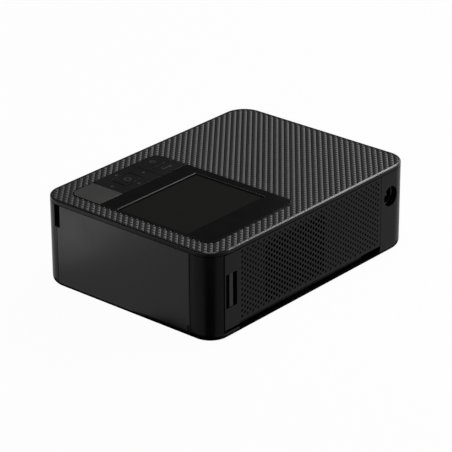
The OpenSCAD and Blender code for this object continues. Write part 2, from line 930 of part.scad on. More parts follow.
// Outer form of the card slot, widened by a fit
module card_body(fit) {
    span([card_x0 - fit, -half_d - fit * 2, card_z - card_h / 2 - fit],
        [card_x1 + fit, -half_d + card_depth, card_z + card_h / 2 + fit]);
}

module card_slot() {
    color("#a4a6ab")
        difference() {
            intersection() {
                card_body(0);
                plain_block(0.3, 0, body_h);
            }
            span([card_x0 + 0.4, -half_d - 1, card_z - 1.15],
                [card_x1 - 0.4, -half_d + card_depth - 1.5, card_z + 1.15]);
        }
}

// Top of the flat cable's socket over the board's lower edge
socket_top = board_h - 2;
// Chips and the socket on the main board, as [y, z, width, height, thickness]
chips = [
    [12, 28, 18, 18, 1.6],
    [34, 16, 10, 14, 1.2],
    [34, board_h - 9, 10, 10, 1.2],
    [-8, 16, 12, 8, 1.2],
    [-36, socket_top - 3, 14, 6, 3.4],
];
// Round capacitors on the main board, as [y, z, radius]
capacitors = [
    [42, board_h - 4, 3],
    [42, 8, 3],
    [-42, 18, 3.2],
];

module main_board() {
    color("#1d6b3f")
        difference() {
            union() {
                span([board_x0, -board_reach, board_bottom],
                    [board_x1, board_reach, board_bottom + board_h]);
                for (c = chips)
                    span([board_x1 - EPS, c[0] - c[2] / 2, board_bottom + c[1] - c[3] / 2],
                        [board_x1 + c[4], c[0] + c[2] / 2, board_bottom + c[1] + c[3] / 2]);
                for (c = capacitors)
                    bar_x([c[0], board_bottom + c[1]], c[2] - 0.4, board_x1 - EPS, board_x1 + 3.6);
            }
            usb_body(card_fit);
        }
}

cable_y = [-half_d + card_depth + 1, strip_y1 - 2];
cable_x = board_x1 + 1.5;
cable_t = 0.3;

// Flat cable from the main board over the chassis to the button board
module flat_cable() {
    color("#d8d4c8")
        along_y(cable_y[0], cable_y[1])
            union() {
                span2([cable_x, board_bottom + socket_top], [cable_x + cable_t, cable_high]);
                span2([cable_x, cable_high - cable_t], [panel_x0 + 5, cable_high]);
            }
}

// ---- Chassis and drive ---------------------------------------------------------------

// Shaft places that have bushes in both plates, as [place, shaft radius]
bushed = [
    [platen_at, shaft_r],
    [capstan_at, shaft_r],
    [pinch_at, pinch_shaft_r],
    [pickup_at, shaft_r],
];
bush_in = 1.8;

// Both chassis plates as one outline
module plate_outline() {
    span2([-chassis_reach, floor_top], [chassis_reach, chassis_top]);
}

module chassis() {
    color("#9a9ca2")
        difference() {
            union() {
                along_x(chassis_left - plate_t, chassis_left)
                    plate_outline();
                along_x(chassis_right, chassis_right + plate_t)
                    difference() {
                        plate_outline();
                        for (at = [supply_at, takeup_at])
                            translate(at)
                                circle(tube_r + seat_gap);
                        span2([supply_at[0], bridge_z0 - 1], [takeup_at[0], bridge_z1 + 1]);
                    }
                span([chassis_left - EPS, supply_at[0] - 6, floor_top],
                    [chassis_right + EPS, chassis_reach, floor_top + plate_t]);
                span([chassis_left - EPS, -chassis_reach + 12, chassis_top - plate_t],
                    [chassis_right + EPS, -chassis_reach + 16, chassis_top]);
            }
            for (b = bushed)
                bar_x(b[0], b[1] + bush_wall, chassis_left - plate_t - 1, chassis_right + 3);
            bar_x(takeup_at, shaft_r + bush_wall, chassis_left - plate_t - 1, chassis_left + 1);
            bar_x(head_pivot, shaft_r, chassis_left - plate_t - 1, chassis_right + plate_t + 1);
        }
}

// One bush in a plate, reaching inwards from the plate's outer face
module bush(at, r, x0, x1) {
    difference() {
        bar_x(at, r + bush_wall, x0, x1);
        bar_x(at, r + run_clear, x0 - 1, x1 + 1);
    }
}

module bushes() {
    color("#b08d57") {
        for (b = bushed) {
            bush(b[0], b[1], chassis_left - plate_t, chassis_left + bush_in);
            bush(b[0], b[1], chassis_right - bush_in, chassis_right + plate_t);
        }
        bush(takeup_at, shaft_r, chassis_left - plate_t, chassis_left + bush_in);
    }
}

gear_plate_posts = [
    [-chassis_reach + 5, floor_top + 8],
    [-chassis_reach + 5, chassis_top - 4],
    [chassis_reach - 4, chassis_top - 2.5],
    [capstan_at[0] + 13, floor_top + 5],
];

module gear_plate() {
    color("#8f9198")
        difference() {
            union() {
                along_x(gear_plate_x - gear_plate_t, gear_plate_x)
                    span2([-chassis_reach + 2, floor_top + 2], [chassis_reach, chassis_top]);
                for (at = gear_plate_posts)
                    bar_x(at, 2, gear_plate_x - EPS, chassis_left - plate_t);
            }
            for (at = [feed_at, ribbon_at])
                bar_x(at, pinion_shaft_r + 1, gear_plate_x - 3, gear_plate_x + 1);
        }
}

module idler_axles() {
    color("#c0c2c6")
        for (at = [idler_a_at, idler_b_at])
            bar_x(at, idler_axle_r, gear_plate_x, chassis_left - plate_t);
}

// Motor can behind the gear plate, with a bore for its shaft
module motor(at, r) {
    x1 = gear_plate_x - gear_plate_t;
    difference() {
        bar_x(at, r, x1 - motor_length, x1);
        bar_x(at, pinion_shaft_r + run_clear, x1 - 6, x1 + 1);
    }
}

module feed_motor() {
    color("#6f7278")
        motor(feed_at, feed_motor_r);
}

module ribbon_motor() {
    color("#77797e")
        motor(ribbon_at, ribbon_motor_r);
}

// Motor shaft with the pinion cut on it
module pinion(at, phase) {
    gear(at, pinion_teeth, phase, pinion_shaft_r - 0.2, gear_x, gear_w);
    bar_x(at, pinion_shaft_r, gear_plate_x - gear_plate_t - 5, gear_x + gear_w);
}

module feed_pinion() {
    color("#c8a65a")
        pinion(feed_at, feed_phase);
}

module ribbon_pinion() {
    color("#c8a65a")
        pinion(ribbon_at, ribbon_phase);
}

module idler_gear_a() {
    color("#e4e2da")
        gear(idler_a_at, idler_teeth, idler_a_phase, idler_axle_r + run_clear, gear_x, gear_w);
}

module idler_gear_b() {
    color("#dcdad2")
        gear(idler_b_at, idler_teeth, idler_b_phase, idler_axle_r + run_clear, gear_x, gear_w);
}

module capstan_gear() {
    color("#e4e2da")
        gear(capstan_at, capstan_teeth, capstan_phase, shaft_r, gear_x, gear_w);
}

module pickup_gear() {
    color("#e4e2da")
        gear(pickup_at, pickup_teeth, pickup_phase, shaft_r, gear_x, gear_w);
}

module takeup_gear() {
    color("#e4e2da")
        gear(takeup_at, takeup_teeth, takeup_phase, shaft_r, gear_x, gear_w);
}

module capstan_roller() {
    color("#c6c8cc") {
        bar_x(capstan_at, capstan_r, paper_x - roller_w / 2, paper_x + roller_w / 2);
        bar_x(capstan_at, shaft_r, shaft_left, chassis_right + plate_t);
    }
}

// Sleeve of a roller over its shaft
module sleeve(at, r, bore_r, width) {
    difference() {
        bar_x(at, r, paper_x - width / 2, paper_x + width / 2);
        bar_x(at, bore_r, paper_x - width / 2 - 1, paper_x + width / 2 + 1);
    }
}

module platen_roller() {
    color("#2a2a2a")
        sleeve(platen_at, platen_r, shaft_r, roller_w);
}

module platen_shaft() {
    color("#c6c8cc")
        bar_x(platen_at, shaft_r, chassis_left - plate_t, chassis_right + plate_t);
}

module pinch_roller() {
    color("#3a3a3a")
        sleeve(pinch_at, pinch_r, pinch_shaft_r, roller_w);
}

module pinch_shaft() {
    color("#c6c8cc")
        bar_x(pinch_at, pinch_shaft_r, chassis_left - plate_t, chassis_right + plate_t);
}

pickup_w = 40;

module pickup_roller() {
    color("#4a4038")
        sleeve(pickup_at, pickup_r, shaft_r, pickup_w);
}

module pickup_shaft() {
    color("#c6c8cc")
        bar_x(pickup_at, shaft_r, shaft_left, chassis_right + plate_t);
}

// ---- Print head ----------------------------------------------------------------------

module head_shaft() {
    color("#b4b6ba")
        bar_x(head_pivot, shaft_r, chassis_left - plate_t, chassis_right + plate_t);
}

// Turns the head from its printing pose to the parked one
module parked() {
    translate([0, head_pivot[0], head_pivot[1]])
        rotate([-head_lift, 0, 0])
            translate([0, -head_pivot[0], -head_pivot[1]])
                children();
}

head_reach = 56.5;
head_y = [platen_at[0] - 6, platen_at[0] + 7];
head_foot = film_z + film_t + 0.3;
head_block_z = [head_foot + 3.1, head_foot + 18.6];
head_base_t = 5;
fin_pitch = 3.8;
fin_t = 1.6;
strip_half = 3.5;
arm_t = 1.5;

// Heat sink with its fins, and the narrow strip that prints
module print_head() {
    color("#8e9095")
        parked()
            along_x(paper_x - head_reach, paper_x + head_reach)
                union() {
                    span2([head_y[0], head_block_z[0]], [head_y[1], head_block_z[0] + head_base_t]);
                    for (k = [0 : 3])
                        span2([head_y[0] + k * fin_pitch, head_block_z[0] + head_base_t - EPS],
                            [head_y[0] + k * fin_pitch + fin_t, head_block_z[1]]);
                    span2([platen_at[0] - strip_half, head_foot],
                        [platen_at[0] + strip_half, head_block_z[0] + EPS]);
                }
}

module head_arm() {
    color("#a7a9ae")
        parked()
            difference() {
                union() {
                    for (x = [paper_x - head_reach - arm_t, paper_x + head_reach])
                        along_x(x, x + arm_t)
                            union() {
                                span2([head_y[0], head_block_z[0] + 1],
                                    [head_y[1], head_block_z[1] + plate_t]);
                                span2([head_y[1] - EPS, head_pivot[1] - 3],
                                    [head_pivot[0], head_pivot[1] + 3]);
                                translate(head_pivot)
                                    circle(shaft_r + 1.6);
                            }
                    along_x(paper_x - head_reach - arm_t, paper_x + head_reach + arm_t)
                        span2([head_y[0], head_block_z[1]], [head_y[1], head_block_z[1] + plate_t]);
                }
                bar_x(head_pivot, shaft_r + run_clear, chassis_left, chassis_right);
            }
}

// ---- Ink cassette --------------------------------------------------------------------

// Outline of the cassette's ends: two round lobes joined by a bridge
module lobes(r) {
    for (at = [supply_at, takeup_at])
        translate(at)
            circle(r);
    span2([supply_at[0], bridge_z0], [takeup_at[0], bridge_z1]);
}

module ink_cassette() {
    color("#35363a")
        difference() {
            union() {
                along_x(tube_left - end_t, tube_left)
                    lobes(tube_r - 0.4);
                along_x(tube_right, tube_right + grip_t)
                    lobes(tube_r + grip_lip);
                for (at = [supply_at, takeup_at])
                    bar_x(at, tube_r, tube_left, tube_right);
            }
            for (at = [supply_at, takeup_at]) {
                bar_x(at, tube_r - tube_wall, tube_left, tube_right);
                bar_x(at, hub_r + run_clear, tube_left - end_t - 1, tube_left + 1);
                bar_x(at, journal_r + run_clear, tube_right - 1, tube_right + grip_t - 1);
            }
            span([paper_x - ribbon_w / 2 - 1, supply_at[0] + 1, bridge_z0 - 2],
                [paper_x + ribbon_w / 2 + 1, supply_at[0] + tube_r, supply_at[1] - tube_r + 3]);
            span([paper_x - ribbon_w / 2 - 1, takeup_at[0] - tube_r, bridge_z0 - 2],
                [paper_x + ribbon_w / 2 + 1, takeup_at[0] - 1, takeup_at[1] - takeup_roll_r + 0.3]);
        }
}

// Spool with a full-length core, a hub on the left and a journal on the right
module spool(at) {
    bar_x(at, core_r, tube_left + 0.6, tube_right - 0.6);
    bar_x(at, hub_r, tube_left - end_t, tube_left + 1);
    bar_x(at, journal_r, tube_right - 1, tube_right + grip_t - 1.2);
}

// Ribbon wound on a spool's core
module ribbon_roll(at, r) {
    bar_x(at, r, paper_x - ribbon_w / 2, paper_x + ribbon_w / 2);
}

module supply_spool() {
    color("#4b3f57") {
        spool(supply_at);
        ribbon_roll(supply_at, supply_roll_r);
    }
}

module takeup_spool() {
    color("#4f4a5c")
        difference() {
            union() {
                spool(takeup_at);
                ribbon_roll(takeup_at, takeup_roll_r);
            }
            bar_x(takeup_at, shaft_r, tube_left - end_t - 2, tube_left + 3);
        }
}

module takeup_spindle() {
    color("#c6c8cc")
        bar_x(takeup_at, shaft_r, shaft_left, tube_left + 3);
}

// Stretch of ribbon between the rolls, close over the platen
module ribbon_film() {
    flat = 4.5;
    line = [
        [supply_at[0] + 1, supply_at[1] - supply_roll_r - 0.4],
        [platen_at[0] - flat, film_z],
        [platen_at[0] + flat, film_z],
        [takeup_at[0] - 1, takeup_at[1] - takeup_roll_r - 0.4],
    ];
    upper = [for (k = [len(line) - 1 : -1 : 0]) line[k] + [0, film_t]];
    color("#5a2430")
        along_x(paper_x - ribbon_w / 2, paper_x + ribbon_w / 2)
            polygon(concat(line, upper));
}

// Lever that holds the cassette in the bay
module cassette_latch() {
    hook = [supply_at[0] - 8.5, supply_at[1] + 5.5];
    color("#3b6ea8")
        difference() {
            union() {
                along_x(latch_x, latch_x + latch_t)
                    union() {
                        translate(latch_at)
                            circle(3);
                        polygon([
                            latch_at + [-1.2, -2.4],
                            hook + [-1.2, -1.4],
                            hook + [1.4, 0.4],
                            hook + [0.6, 2.2],
                            latch_at + [1.2, 2.4],
                        ]);
                    }
                span([latch_x, latch_at[0] + 5, latch_at[1] - 2.4],
                    [bay_x1 - 0.4, latch_at[0] + 7, latch_at[1] - 0.4]);
            }
            bar_x(latch_at, latch_post_r + 0.08, latch_x - 1, latch_x + latch_t + 1);
        }
}

// ---- Paper path ----------------------------------------------------------------------

guide_y0 = capstan_at[0] + 5;
guide_y1 = half_d - wall - 0.3;
guide_drop = (capstan_at[1] + capstan_r - tray_top - 1.6) / (guide_y1 - guide_y0);
guide_reach = 56;
guide_t = 1.1;

// Height of the paper at a distance y behind the front
function paper_z(y) = capstan_at[1] + capstan_r + nip_gap / 2 - (y - guide_y0) * guide_drop;

// Sloping band between two places, from one height over the paper to another
module paper_band(y0, y1, low, high) {
    polygon([
        [y0, paper_z(y0) + low],
        [y1, paper_z(y1) + low],
        [y1, paper_z(y1) + high],
        [y0, paper_z(y0) + high],
    ]);
}

module paper_guide() {
    color("#2e2e30") {
        along_x(paper_x - guide_reach, paper_x + guide_reach)
            union() {
                paper_band(guide_y0, guide_y1, -0.9 - guide_t, -0.9);
                paper_band(guide_y0, guide_y1 - 3, 0.9, 0.9 + guide_t);
            }
        for (x = [paper_x - guide_reach - guide_t, paper_x + guide_reach])
            along_x(x - EPS, x + guide_t + EPS)
                union() {
                    paper_band(guide_y0, guide_y1, -0.9 - guide_t, 0.9 + guide_t);
                    span2([guide_y0 + 4, floor_top + plate_t], [guide_y0 + 16, paper_z(guide_y0 + 16)]);
                }
    }
}

cassette_inner_w = 111;
tray_y0 = -half_d + door_t + 1;
tray_y1 = supply_at[0] - 6.4;
channel_wall_y1 = supply_at[0] - tube_r - grip_lip - 0.4;
channel_t = 1.5;

// Channel that the paper cassette slides into
module cassette_guide() {
    color("#262628") {
        span([paper_x - cassette_inner_w / 2 - channel_t, tray_y0, floor_top],
            [paper_x + cassette_inner_w / 2 + channel_t, tray_y1, floor_top + channel_t]);
        for (x = [paper_x - cassette_inner_w / 2 - channel_t, paper_x + cassette_inner_w / 2])
            span([x, tray_y0, floor_top + channel_t - EPS],
                [x + channel_t, channel_wall_y1, pickup_at[1] - shaft_r - 1]);
    }
}

// ---- Fan -----------------------------------------------------------------------------

fan_y1 = half_d - vent_t;
fan_y0 = fan_y1 - fan_t;
fan_bore_r = fan_size / 2 - 1.3;
fan_hub_r = 7;
fan_pin_r = 1;
spoke_t = 1.5;

module fan_frame() {
    color("#1b1b1d") {
        difference() {
            along_y(fan_y0, fan_y1)
                translate(fan_at)
                    square(fan_size, center = true);
            bar_y(fan_at, fan_bore_r, fan_y0 - 1, fan_y1 + 1);
        }
        intersection() {
            for (a = [30, 150, 270])
                translate([fan_at[0], fan_y0, fan_at[1]])
                    rotate([0, a, 0])
                        span([0, 0, -1], [fan_bore_r + 0.5, spoke_t, 1]);
            bar_y(fan_at, fan_bore_r + 0.5, fan_y0, fan_y1);
        }
        bar_y(fan_at, fan_hub_r, fan_y0, fan_y0 + spoke_t);
        bar_y(fan_at, fan_pin_r, fan_y0, fan_y1 - 1);
    }
}

module fan_rotor() {
    y0 = fan_y0 + spoke_t + 0.4;
    y1 = fan_y1 - 0.6;
    color("#26262a")
        difference() {
            union() {
                bar_y(fan_at, fan_hub_r, y0, y1);
                intersection() {
                    difference() {
                        bar_y(fan_at, fan_bore_r - 0.6, y0, y1);
                        bar_y(fan_at, fan_hub_r - 0.3, y0 - 1, y1 + 1);
                    }
                    for (k = [0 : fan_blades - 1])
                        translate([fan_at[0], (y0 + y1) / 2, fan_at[1]])
                            rotate([0, k * 360 / fan_blades, 0])
                                translate([fan_size / 4, 0, 0])
                                    rotate([38, 0, 0])
                                        cube([fan_size / 2, fan_t + 2, 1.1], center = true);
                }
            }
            bar_y(fan_at, fan_pin_r + run_clear, y0 - 1, fan_y1 - 0.8);
        }
}

// ---- Doors ---------------------------------------------------------------------------

module ink_door() {
    z1 = case_top;
    color("#303032")
        difference() {
            intersection() {
                outer_form();
                union() {
                    span([half_w - door_t, door_y0 + door_gap, door_bottom],
                        [half_w, door_axis[1], z1]);
                    bar_z(door_axis, door_nose_r, door_bottom, z1);
                }
            }
            bar_z(door_axis, door_nose_r + door_gap, tray_top - door_gap,
                tray_top + lug_h + door_gap);
            span([bay_x0, door_axis[1] - door_nose_r - lug_gap, tray_top - door_gap],
                [door_axis[0], door_y1, tray_top + lug_h + door_gap]);
            bar_z(door_axis, hinge_pin_r + run_clear, tray_top, z1 + 1);
            span([half_w - door_t - 1, door_y0, notch_z0], [half_w + 1, notch_y1, z1 + 1]);
        }
}

module door_pin() {
    color("#b0b2b6")
        bar_z(door_axis, hinge_pin_r, tray_top + 0.3, lid_bottom + pin_in_lid);
}

module front_cover() {
    x0 = cover_x0 + door_gap;
    x1 = cover_x1 - door_gap;
    stub = cover_pin_l - 0.5;
    color("#1d1d1f") {
        span([x0, -half_d, cover_axis[1]], [x1, -half_d + door_t, cover_top - door_gap]);
        bar_x(cover_axis, door_nose_r, x0, x1);
        bar_x(cover_axis, hinge_pin_r - run_clear, x0 - stub, x0 + EPS);
        bar_x(cover_axis, hinge_pin_r - run_clear, x1 - EPS, x1 + stub);
    }
}

base_tray();
rubber_feet();
case_screws();
outer_case();
top_cover();
control_panel();
display_window();
display_module();
button_board();
key_switches();
back_button();
power_button();
print_button();
ok_button();
arrow_pad();
pad_carrier();
vent_panel();
lock_bar();
power_inlet();
inlet_pin();
usb_port();
card_slot();
main_board();
flat_cable();
chassis();
bushes();
gear_plate();
idler_axles();
feed_motor();
ribbon_motor();
feed_pinion();
ribbon_pinion();
idler_gear_a();
idler_gear_b();
capstan_gear();
pickup_gear();
takeup_gear();
capstan_roller();
platen_roller();
platen_shaft();
pinch_roller();
pinch_shaft();
pickup_roller();
pickup_shaft();
head_shaft();
head_arm();
print_head();
ink_cassette();
supply_spool();
takeup_spool();
takeup_spindle();
ribbon_film();
cassette_latch();
paper_guide();
cassette_guide();
fan_frame();
fan_rotor();
ink_door();
door_pin();
front_cover();
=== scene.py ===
"""Compact photo printer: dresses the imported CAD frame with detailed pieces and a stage."""

import json
import math

import bmesh
import bpy
from bpy.props import FloatProperty, FloatVectorProperty, PointerProperty
from mathutils import Matrix, Vector


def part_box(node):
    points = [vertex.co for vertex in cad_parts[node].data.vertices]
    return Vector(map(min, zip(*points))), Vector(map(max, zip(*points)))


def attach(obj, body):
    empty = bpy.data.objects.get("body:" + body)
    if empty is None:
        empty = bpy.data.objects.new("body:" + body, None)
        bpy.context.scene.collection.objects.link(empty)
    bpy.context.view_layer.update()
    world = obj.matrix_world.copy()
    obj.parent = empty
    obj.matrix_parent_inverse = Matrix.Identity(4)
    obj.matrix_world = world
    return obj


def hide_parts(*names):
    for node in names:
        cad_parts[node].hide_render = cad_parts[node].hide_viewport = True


bl_info = {
    "name": "Compact Photo Printer",
    "version": (1, 0, 0),
    "blender": (4, 5, 0),
    "location": "View3D > Sidebar > Photo Printer",
    "description": "Dresses the packed photo printer with detailed pieces, finishes and a stage",
    "category": "Object",
}

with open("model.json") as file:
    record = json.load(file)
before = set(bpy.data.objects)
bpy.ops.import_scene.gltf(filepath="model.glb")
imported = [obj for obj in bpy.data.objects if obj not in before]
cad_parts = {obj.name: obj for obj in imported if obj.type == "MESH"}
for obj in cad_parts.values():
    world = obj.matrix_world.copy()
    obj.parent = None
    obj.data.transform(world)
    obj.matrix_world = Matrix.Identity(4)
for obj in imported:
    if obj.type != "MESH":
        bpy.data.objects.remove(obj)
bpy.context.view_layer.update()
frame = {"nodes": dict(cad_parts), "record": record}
MM = 0.001
BODY_OF = {
    node: body
    for body, nodes in frame["record"]["behaviour"]["bodies"].items()
    for node in nodes
}

# The panel's opening in the top cover and the window in the panel, as in the CAD model
PANEL_LOW = (2.9 * MM, -54.5 * MM)
PANEL_HIGH = (78.9 * MM, 54.0 * MM)
PANEL_CORNER = 6.5 * MM
WINDOW_LOW = (8.9 * MM, -17.5 * MM)
WINDOW_HIGH = (77.4 * MM, 36.0 * MM)
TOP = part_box("top_cover")[1][2]
BODY_CORNER = 14 * MM
# Middle of the vent panel's through-holes
VENT_CENTRE = (18.35 * MM, 31.1 * MM)
# Points closer than this are one point
WELD = 1e-6
# Roughness and specular level of the case's satin parts and of the ink door
CASE_GLOSS = (0.3, 0.075)
DOOR_GLOSS = (0.34, 0.19)
WHITE = (1, 1, 1, 1)


# ---- Colours and nodes ---------------------------------------------------------------


def linear(hex_colour):
    """Turns an sRGB hex value into the linear colour that Blender works in."""
    parts = [int(hex_colour[i : i + 2], 16) / 255 for i in (1, 3, 5)]
    return tuple(p / 12.92 if p <= 0.04045 else ((p + 0.055) / 1.055) ** 2.4 for p in parts) + (1,)


def add(tree, kind, inputs=None, **settings):
    """Adds a node with its settings; each input is a value or the socket that feeds it."""
    node = tree.nodes.new(kind)
    for name, value in settings.items():
        setattr(node, name, value)
    for name, value in (inputs or {}).items():
        if isinstance(value, bpy.types.NodeSocket):
            tree.links.new(value, node.inputs[name])
        else:
            node.inputs[name].default_value = value
    return node


def empty_tree(owner):
    """Node tree of a material or world, with nothing in it."""
    owner.use_nodes = True
    owner.node_tree.nodes.clear()
    return owner.node_tree


def start_material(name, colour, roughness, **sockets):
    """Principled material; returns it with its tree, its shader and the object coordinates."""
    material = bpy.data.materials.new(name)
    tree = empty_tree(material)
    fixed = {key.replace("_", " "): value for key, value in sockets.items()}
    shader = add(
        tree,
        "ShaderNodeBsdfPrincipled",
        {"Base Color": colour, "Roughness": roughness, **fixed},
    )
    add(tree, "ShaderNodeOutputMaterial", {"Surface": shader.outputs["BSDF"]})
    place = add(tree, "ShaderNodeTexCoord").outputs["Object"]
    return material, tree, shader, place


def grain(tree, place, size, detail=2.0, stretch=(1, 1, 1)):
    """Noise with blobs of about this size in metres, drawn out along the axes of small stretch."""
    spread = add(tree, "ShaderNodeMapping", {"Vector": place, "Scale": stretch})
    noise = add(
        tree,
        "ShaderNodeTexNoise",
        {"Vector": spread.outputs["Vector"], "Scale": 1 / size, "Detail": detail},
    )
    return noise.outputs[0]


def between(tree, factor, low, high, start=0.3, stop=0.7):
    """Spreads a pattern's middle range over low to high."""
    spread = add(
        tree,
        "ShaderNodeMapRange",
        {"Value": factor, "From Min": start, "From Max": stop, "To Min": low, "To Max": high},
    )
    return spread.outputs[0]


def tint(tree, factor, dark, light):
    """Colour between dark and light by a pattern."""
    mix = add(tree, "ShaderNodeMix", {0: factor, 6: dark, 7: light}, data_type="RGBA")
    return mix.outputs[2]


def shade(colour, share):
    """Colour made darker or lighter by a share."""
    return tuple(min(1, c * share) for c in colour[:3]) + (1,)


def raise_bumps(tree, shader, height, depth):
    """Bumps of a depth in mm, from a pattern."""
    bump = add(tree, "ShaderNodeBump", {"Height": height, "Distance": depth * MM, "Strength": 1})
    tree.links.new(bump.outputs["Normal"], shader.inputs["Normal"])


def moulded(name, colour, roughness, size=0.5, depth=0.01, mottle=0.12, gloss=0.06, **sockets):
    """Moulded plastic or rubber: spark-eroded grain of a size and depth in mm, and faint mottle."""
    material, tree, shader, place = start_material(name, colour, roughness, **sockets)
    fine = grain(tree, place, size * MM)
    broad = grain(tree, place, 14 * MM, 3)
    tone = tint(
        tree, between(tree, broad, 0, 1), shade(colour, 1 - mottle), shade(colour, 1 + mottle)
    )
    tree.links.new(tone, shader.inputs["Base Color"])
    sheen = between(tree, broad, roughness - gloss, roughness + gloss)
    tree.links.new(sheen, shader.inputs["Roughness"])
    raise_bumps(tree, shader, fine, depth)
    return material


def metal(name, colour, roughness, stretch=(1, 1, 1), size=0.4, depth=0.004, spread=0.1):
    """Metal: streaks or spangle of a size in mm, drawn out along the axes of small stretch."""
    material, tree, shader, place = start_material(name, colour, roughness, Metallic=1.0)
    streak = grain(tree, place, size * MM, 4, stretch)
    tone = tint(tree, between(tree, streak, 0, 1), shade(colour, 1 - spread), colour)
    tree.links.new(tone, shader.inputs["Base Color"])
    sheen = between(tree, streak, roughness * 0.75, roughness * 1.35)
    tree.links.new(sheen, shader.inputs["Roughness"])
    raise_bumps(tree, shader, streak, depth)
    return material


# ---- Meshes --------------------------------------------------------------------------


def near(a, b, reach=0.02 * MM):
    return abs(a - b) < reach


def new_object(name, mesh):
    obj = bpy.data.objects.new(name, mesh)
    bpy.context.scene.collection.objects.link(obj)
    return obj


def mesh_from(name, verts, faces):
    mesh = bpy.data.meshes.new(name)
    mesh.from_pydata(verts, [], faces)
    mesh.validate()
    return mesh


def at_angle(centre, radius, degrees):
    angle = math.radians(degrees)
    return (centre[0] + radius * math.cos(angle), centre[1] + radius * math.sin(angle))


def arc(centre, radius, start, stop, steps=24):
    return [
        at_angle(centre, radius, start + (stop - start) * k / steps) for k in range(steps + 1)
    ]


def arc_band(centre, radius, width, start, stop):
    """Outline of a curved band."""
    outer = arc(centre, radius + width / 2, start, stop)
    inner = arc(centre, radius - width / 2, start, stop)
    return outer + inner[::-1]


def triangle(centre, size, turn):
    """Outline of a small arrow head that points along an angle."""
    return [at_angle(centre, size, turn + k) for k in (0, 120, 240)]


def outline(x0, y0, x1, y1, radius, steps):
    """Points round a rectangle with round corners, anticlockwise."""
    points = []
    for x, y, start in ((x1, y0, -90), (x1, y1, 0), (x0, y1, 90), (x0, y0, 180)):
        cx = x - radius if x == x1 else x + radius
        cy = y - radius if y == y1 else y + radius
        points += arc((cx, cy), radius, start, start + 90, steps)
    return points


def loft(name, rings):
    """Closed skin through rings with as many points each, capped at both ends."""
    count = len(rings[0])
    verts = [point for ring in rings for point in ring]
    faces = [tuple(range(count - 1, -1, -1))]
    for i in range(len(rings) - 1):
        for k in range(count):
            after = (k + 1) % count
            faces.append(
                (i * count + k, i * count + after, (i + 1) * count + after, (i + 1) * count + k)
            )
    last = (len(rings) - 1) * count
    faces.append(tuple(range(last, last + count)))
    return mesh_from(name, verts, faces)


def merged_copy(node, name):
    """Copy of a CAD node with its loose triangles merged and its flat faces joined."""
    mesh = frame["nodes"][node].data.copy()
    mesh.name = name
    for layer in ("custom_normal", "sharp_face", "sharp_edge"):
        if layer in mesh.attributes:
            mesh.attributes.remove(mesh.attributes[layer])
    b = bmesh.new()
    b.from_mesh(mesh)
    bmesh.ops.remove_doubles(b, verts=b.verts, dist=WELD)
    bmesh.ops.dissolve_limit(
        b, angle_limit=math.radians(0.5), verts=b.verts, edges=b.edges, delimit={"NORMAL"}
    )
    b.to_mesh(mesh)
    b.free()
    mesh.materials.clear()
    return mesh


def round_edges(mesh, chosen, width, segments):
    """Rounds the sharp edges that a test picks."""
    b = bmesh.new()
    b.from_mesh(mesh)
    edges = [
        e
        for e in b.edges
        if len(e.link_faces) == 2 and e.calc_face_angle(0) > math.radians(40) and chosen(e)
    ]
    bmesh.ops.bevel(
        b,
        geom=edges,
        offset=width,
        segments=segments,
        profile=0.5,
        affect="EDGES",
        clamp_overlap=True,
    )
    bmesh.ops.remove_doubles(b, verts=b.verts, dist=WELD)
    b.to_mesh(mesh)
    b.free()


def bake(obj):
    """Turns the evaluated object into a plain mesh and takes its modifiers off."""
    depsgraph = bpy.context.evaluated_depsgraph_get()
    mesh = bpy.data.meshes.new_from_object(
        obj.evaluated_get(depsgraph), preserve_all_data_layers=True, depsgraph=depsgraph
    )
    if not mesh.polygons:
        raise RuntimeError(f"{obj.name} came out empty")
    obj.modifiers.clear()
    obj.data = mesh
    return obj


def smooth(obj, angle=30):
    """Smooth faces that break at sharp edges, with the flat faces kept flat."""
    obj.data.shade_smooth()
    obj.data.set_sharp_from_angle(angle=math.radians(angle))
    weighted = obj.modifiers.new("Flat faces", "WEIGHTED_NORMAL")
    weighted.keep_sharp = True
    weighted.weight = 100
    return bake(obj)


def run_nodes(obj, tree, **values):
    """Runs a Geometry Nodes tree on an object, its inputs set by their identifiers."""
    modifier = obj.modifiers.new(tree.name, "NODES")
    modifier.node_group = tree
    for item in tree.interface.items_tree:
        if item.item_type == "SOCKET" and item.in_out == "INPUT" and item.name in values:
            modifier[item.identifier] = values[item.name]
    return bake(obj)


def start_tree(name, lengths=(), counts=()):
    """Empty Geometry Nodes tree with named length and count inputs."""
    tree = bpy.data.node_groups.new(name, "GeometryNodeTree")
    tree.is_modifier = True
    face = tree.interface
    face.new_socket("Geometry", in_out="INPUT", socket_type="NodeSocketGeometry")
    for label in lengths:
        face.new_socket(label, in_out="INPUT", socket_type="NodeSocketFloat")
    for label in counts:
        face.new_socket(label, in_out="INPUT", socket_type="NodeSocketInt")
    face.new_socket("Material", in_out="INPUT", socket_type="NodeSocketMaterial")
    face.new_socket("Geometry", in_out="OUTPUT", socket_type="NodeSocketGeometry")
    return tree, add(tree, "NodeGroupInput").outputs


def end_tree(tree, given, geometry):
    """Ends a tree in Realize Instances and Set Material."""
    real = add(tree, "GeometryNodeRealizeInstances", {"Geometry": geometry})
    painted = add(
        tree,
        "GeometryNodeSetMaterial",
        {"Geometry": real.outputs[0], "Material": given["Material"]},
    )
    add(tree, "NodeGroupOutput", {"Geometry": painted.outputs[0]})
    return tree


def maths(tree, operation, a, b):
    """Result of one sum on two numbers or sockets."""
    return add(tree, "ShaderNodeMath", {0: a, 1: b}, operation=operation).outputs[0]


def plus(tree, a, b):
    return maths(tree, "ADD", a, b)


def minus(tree, a, b):
    return maths(tree, "SUBTRACT", a, b)


def times(tree, a, b):
    return maths(tree, "MULTIPLY", a, b)


def combine(tree, x, y, z):
    return add(tree, "ShaderNodeCombineXYZ", {"X": x, "Y": y, "Z": z}).outputs[0]


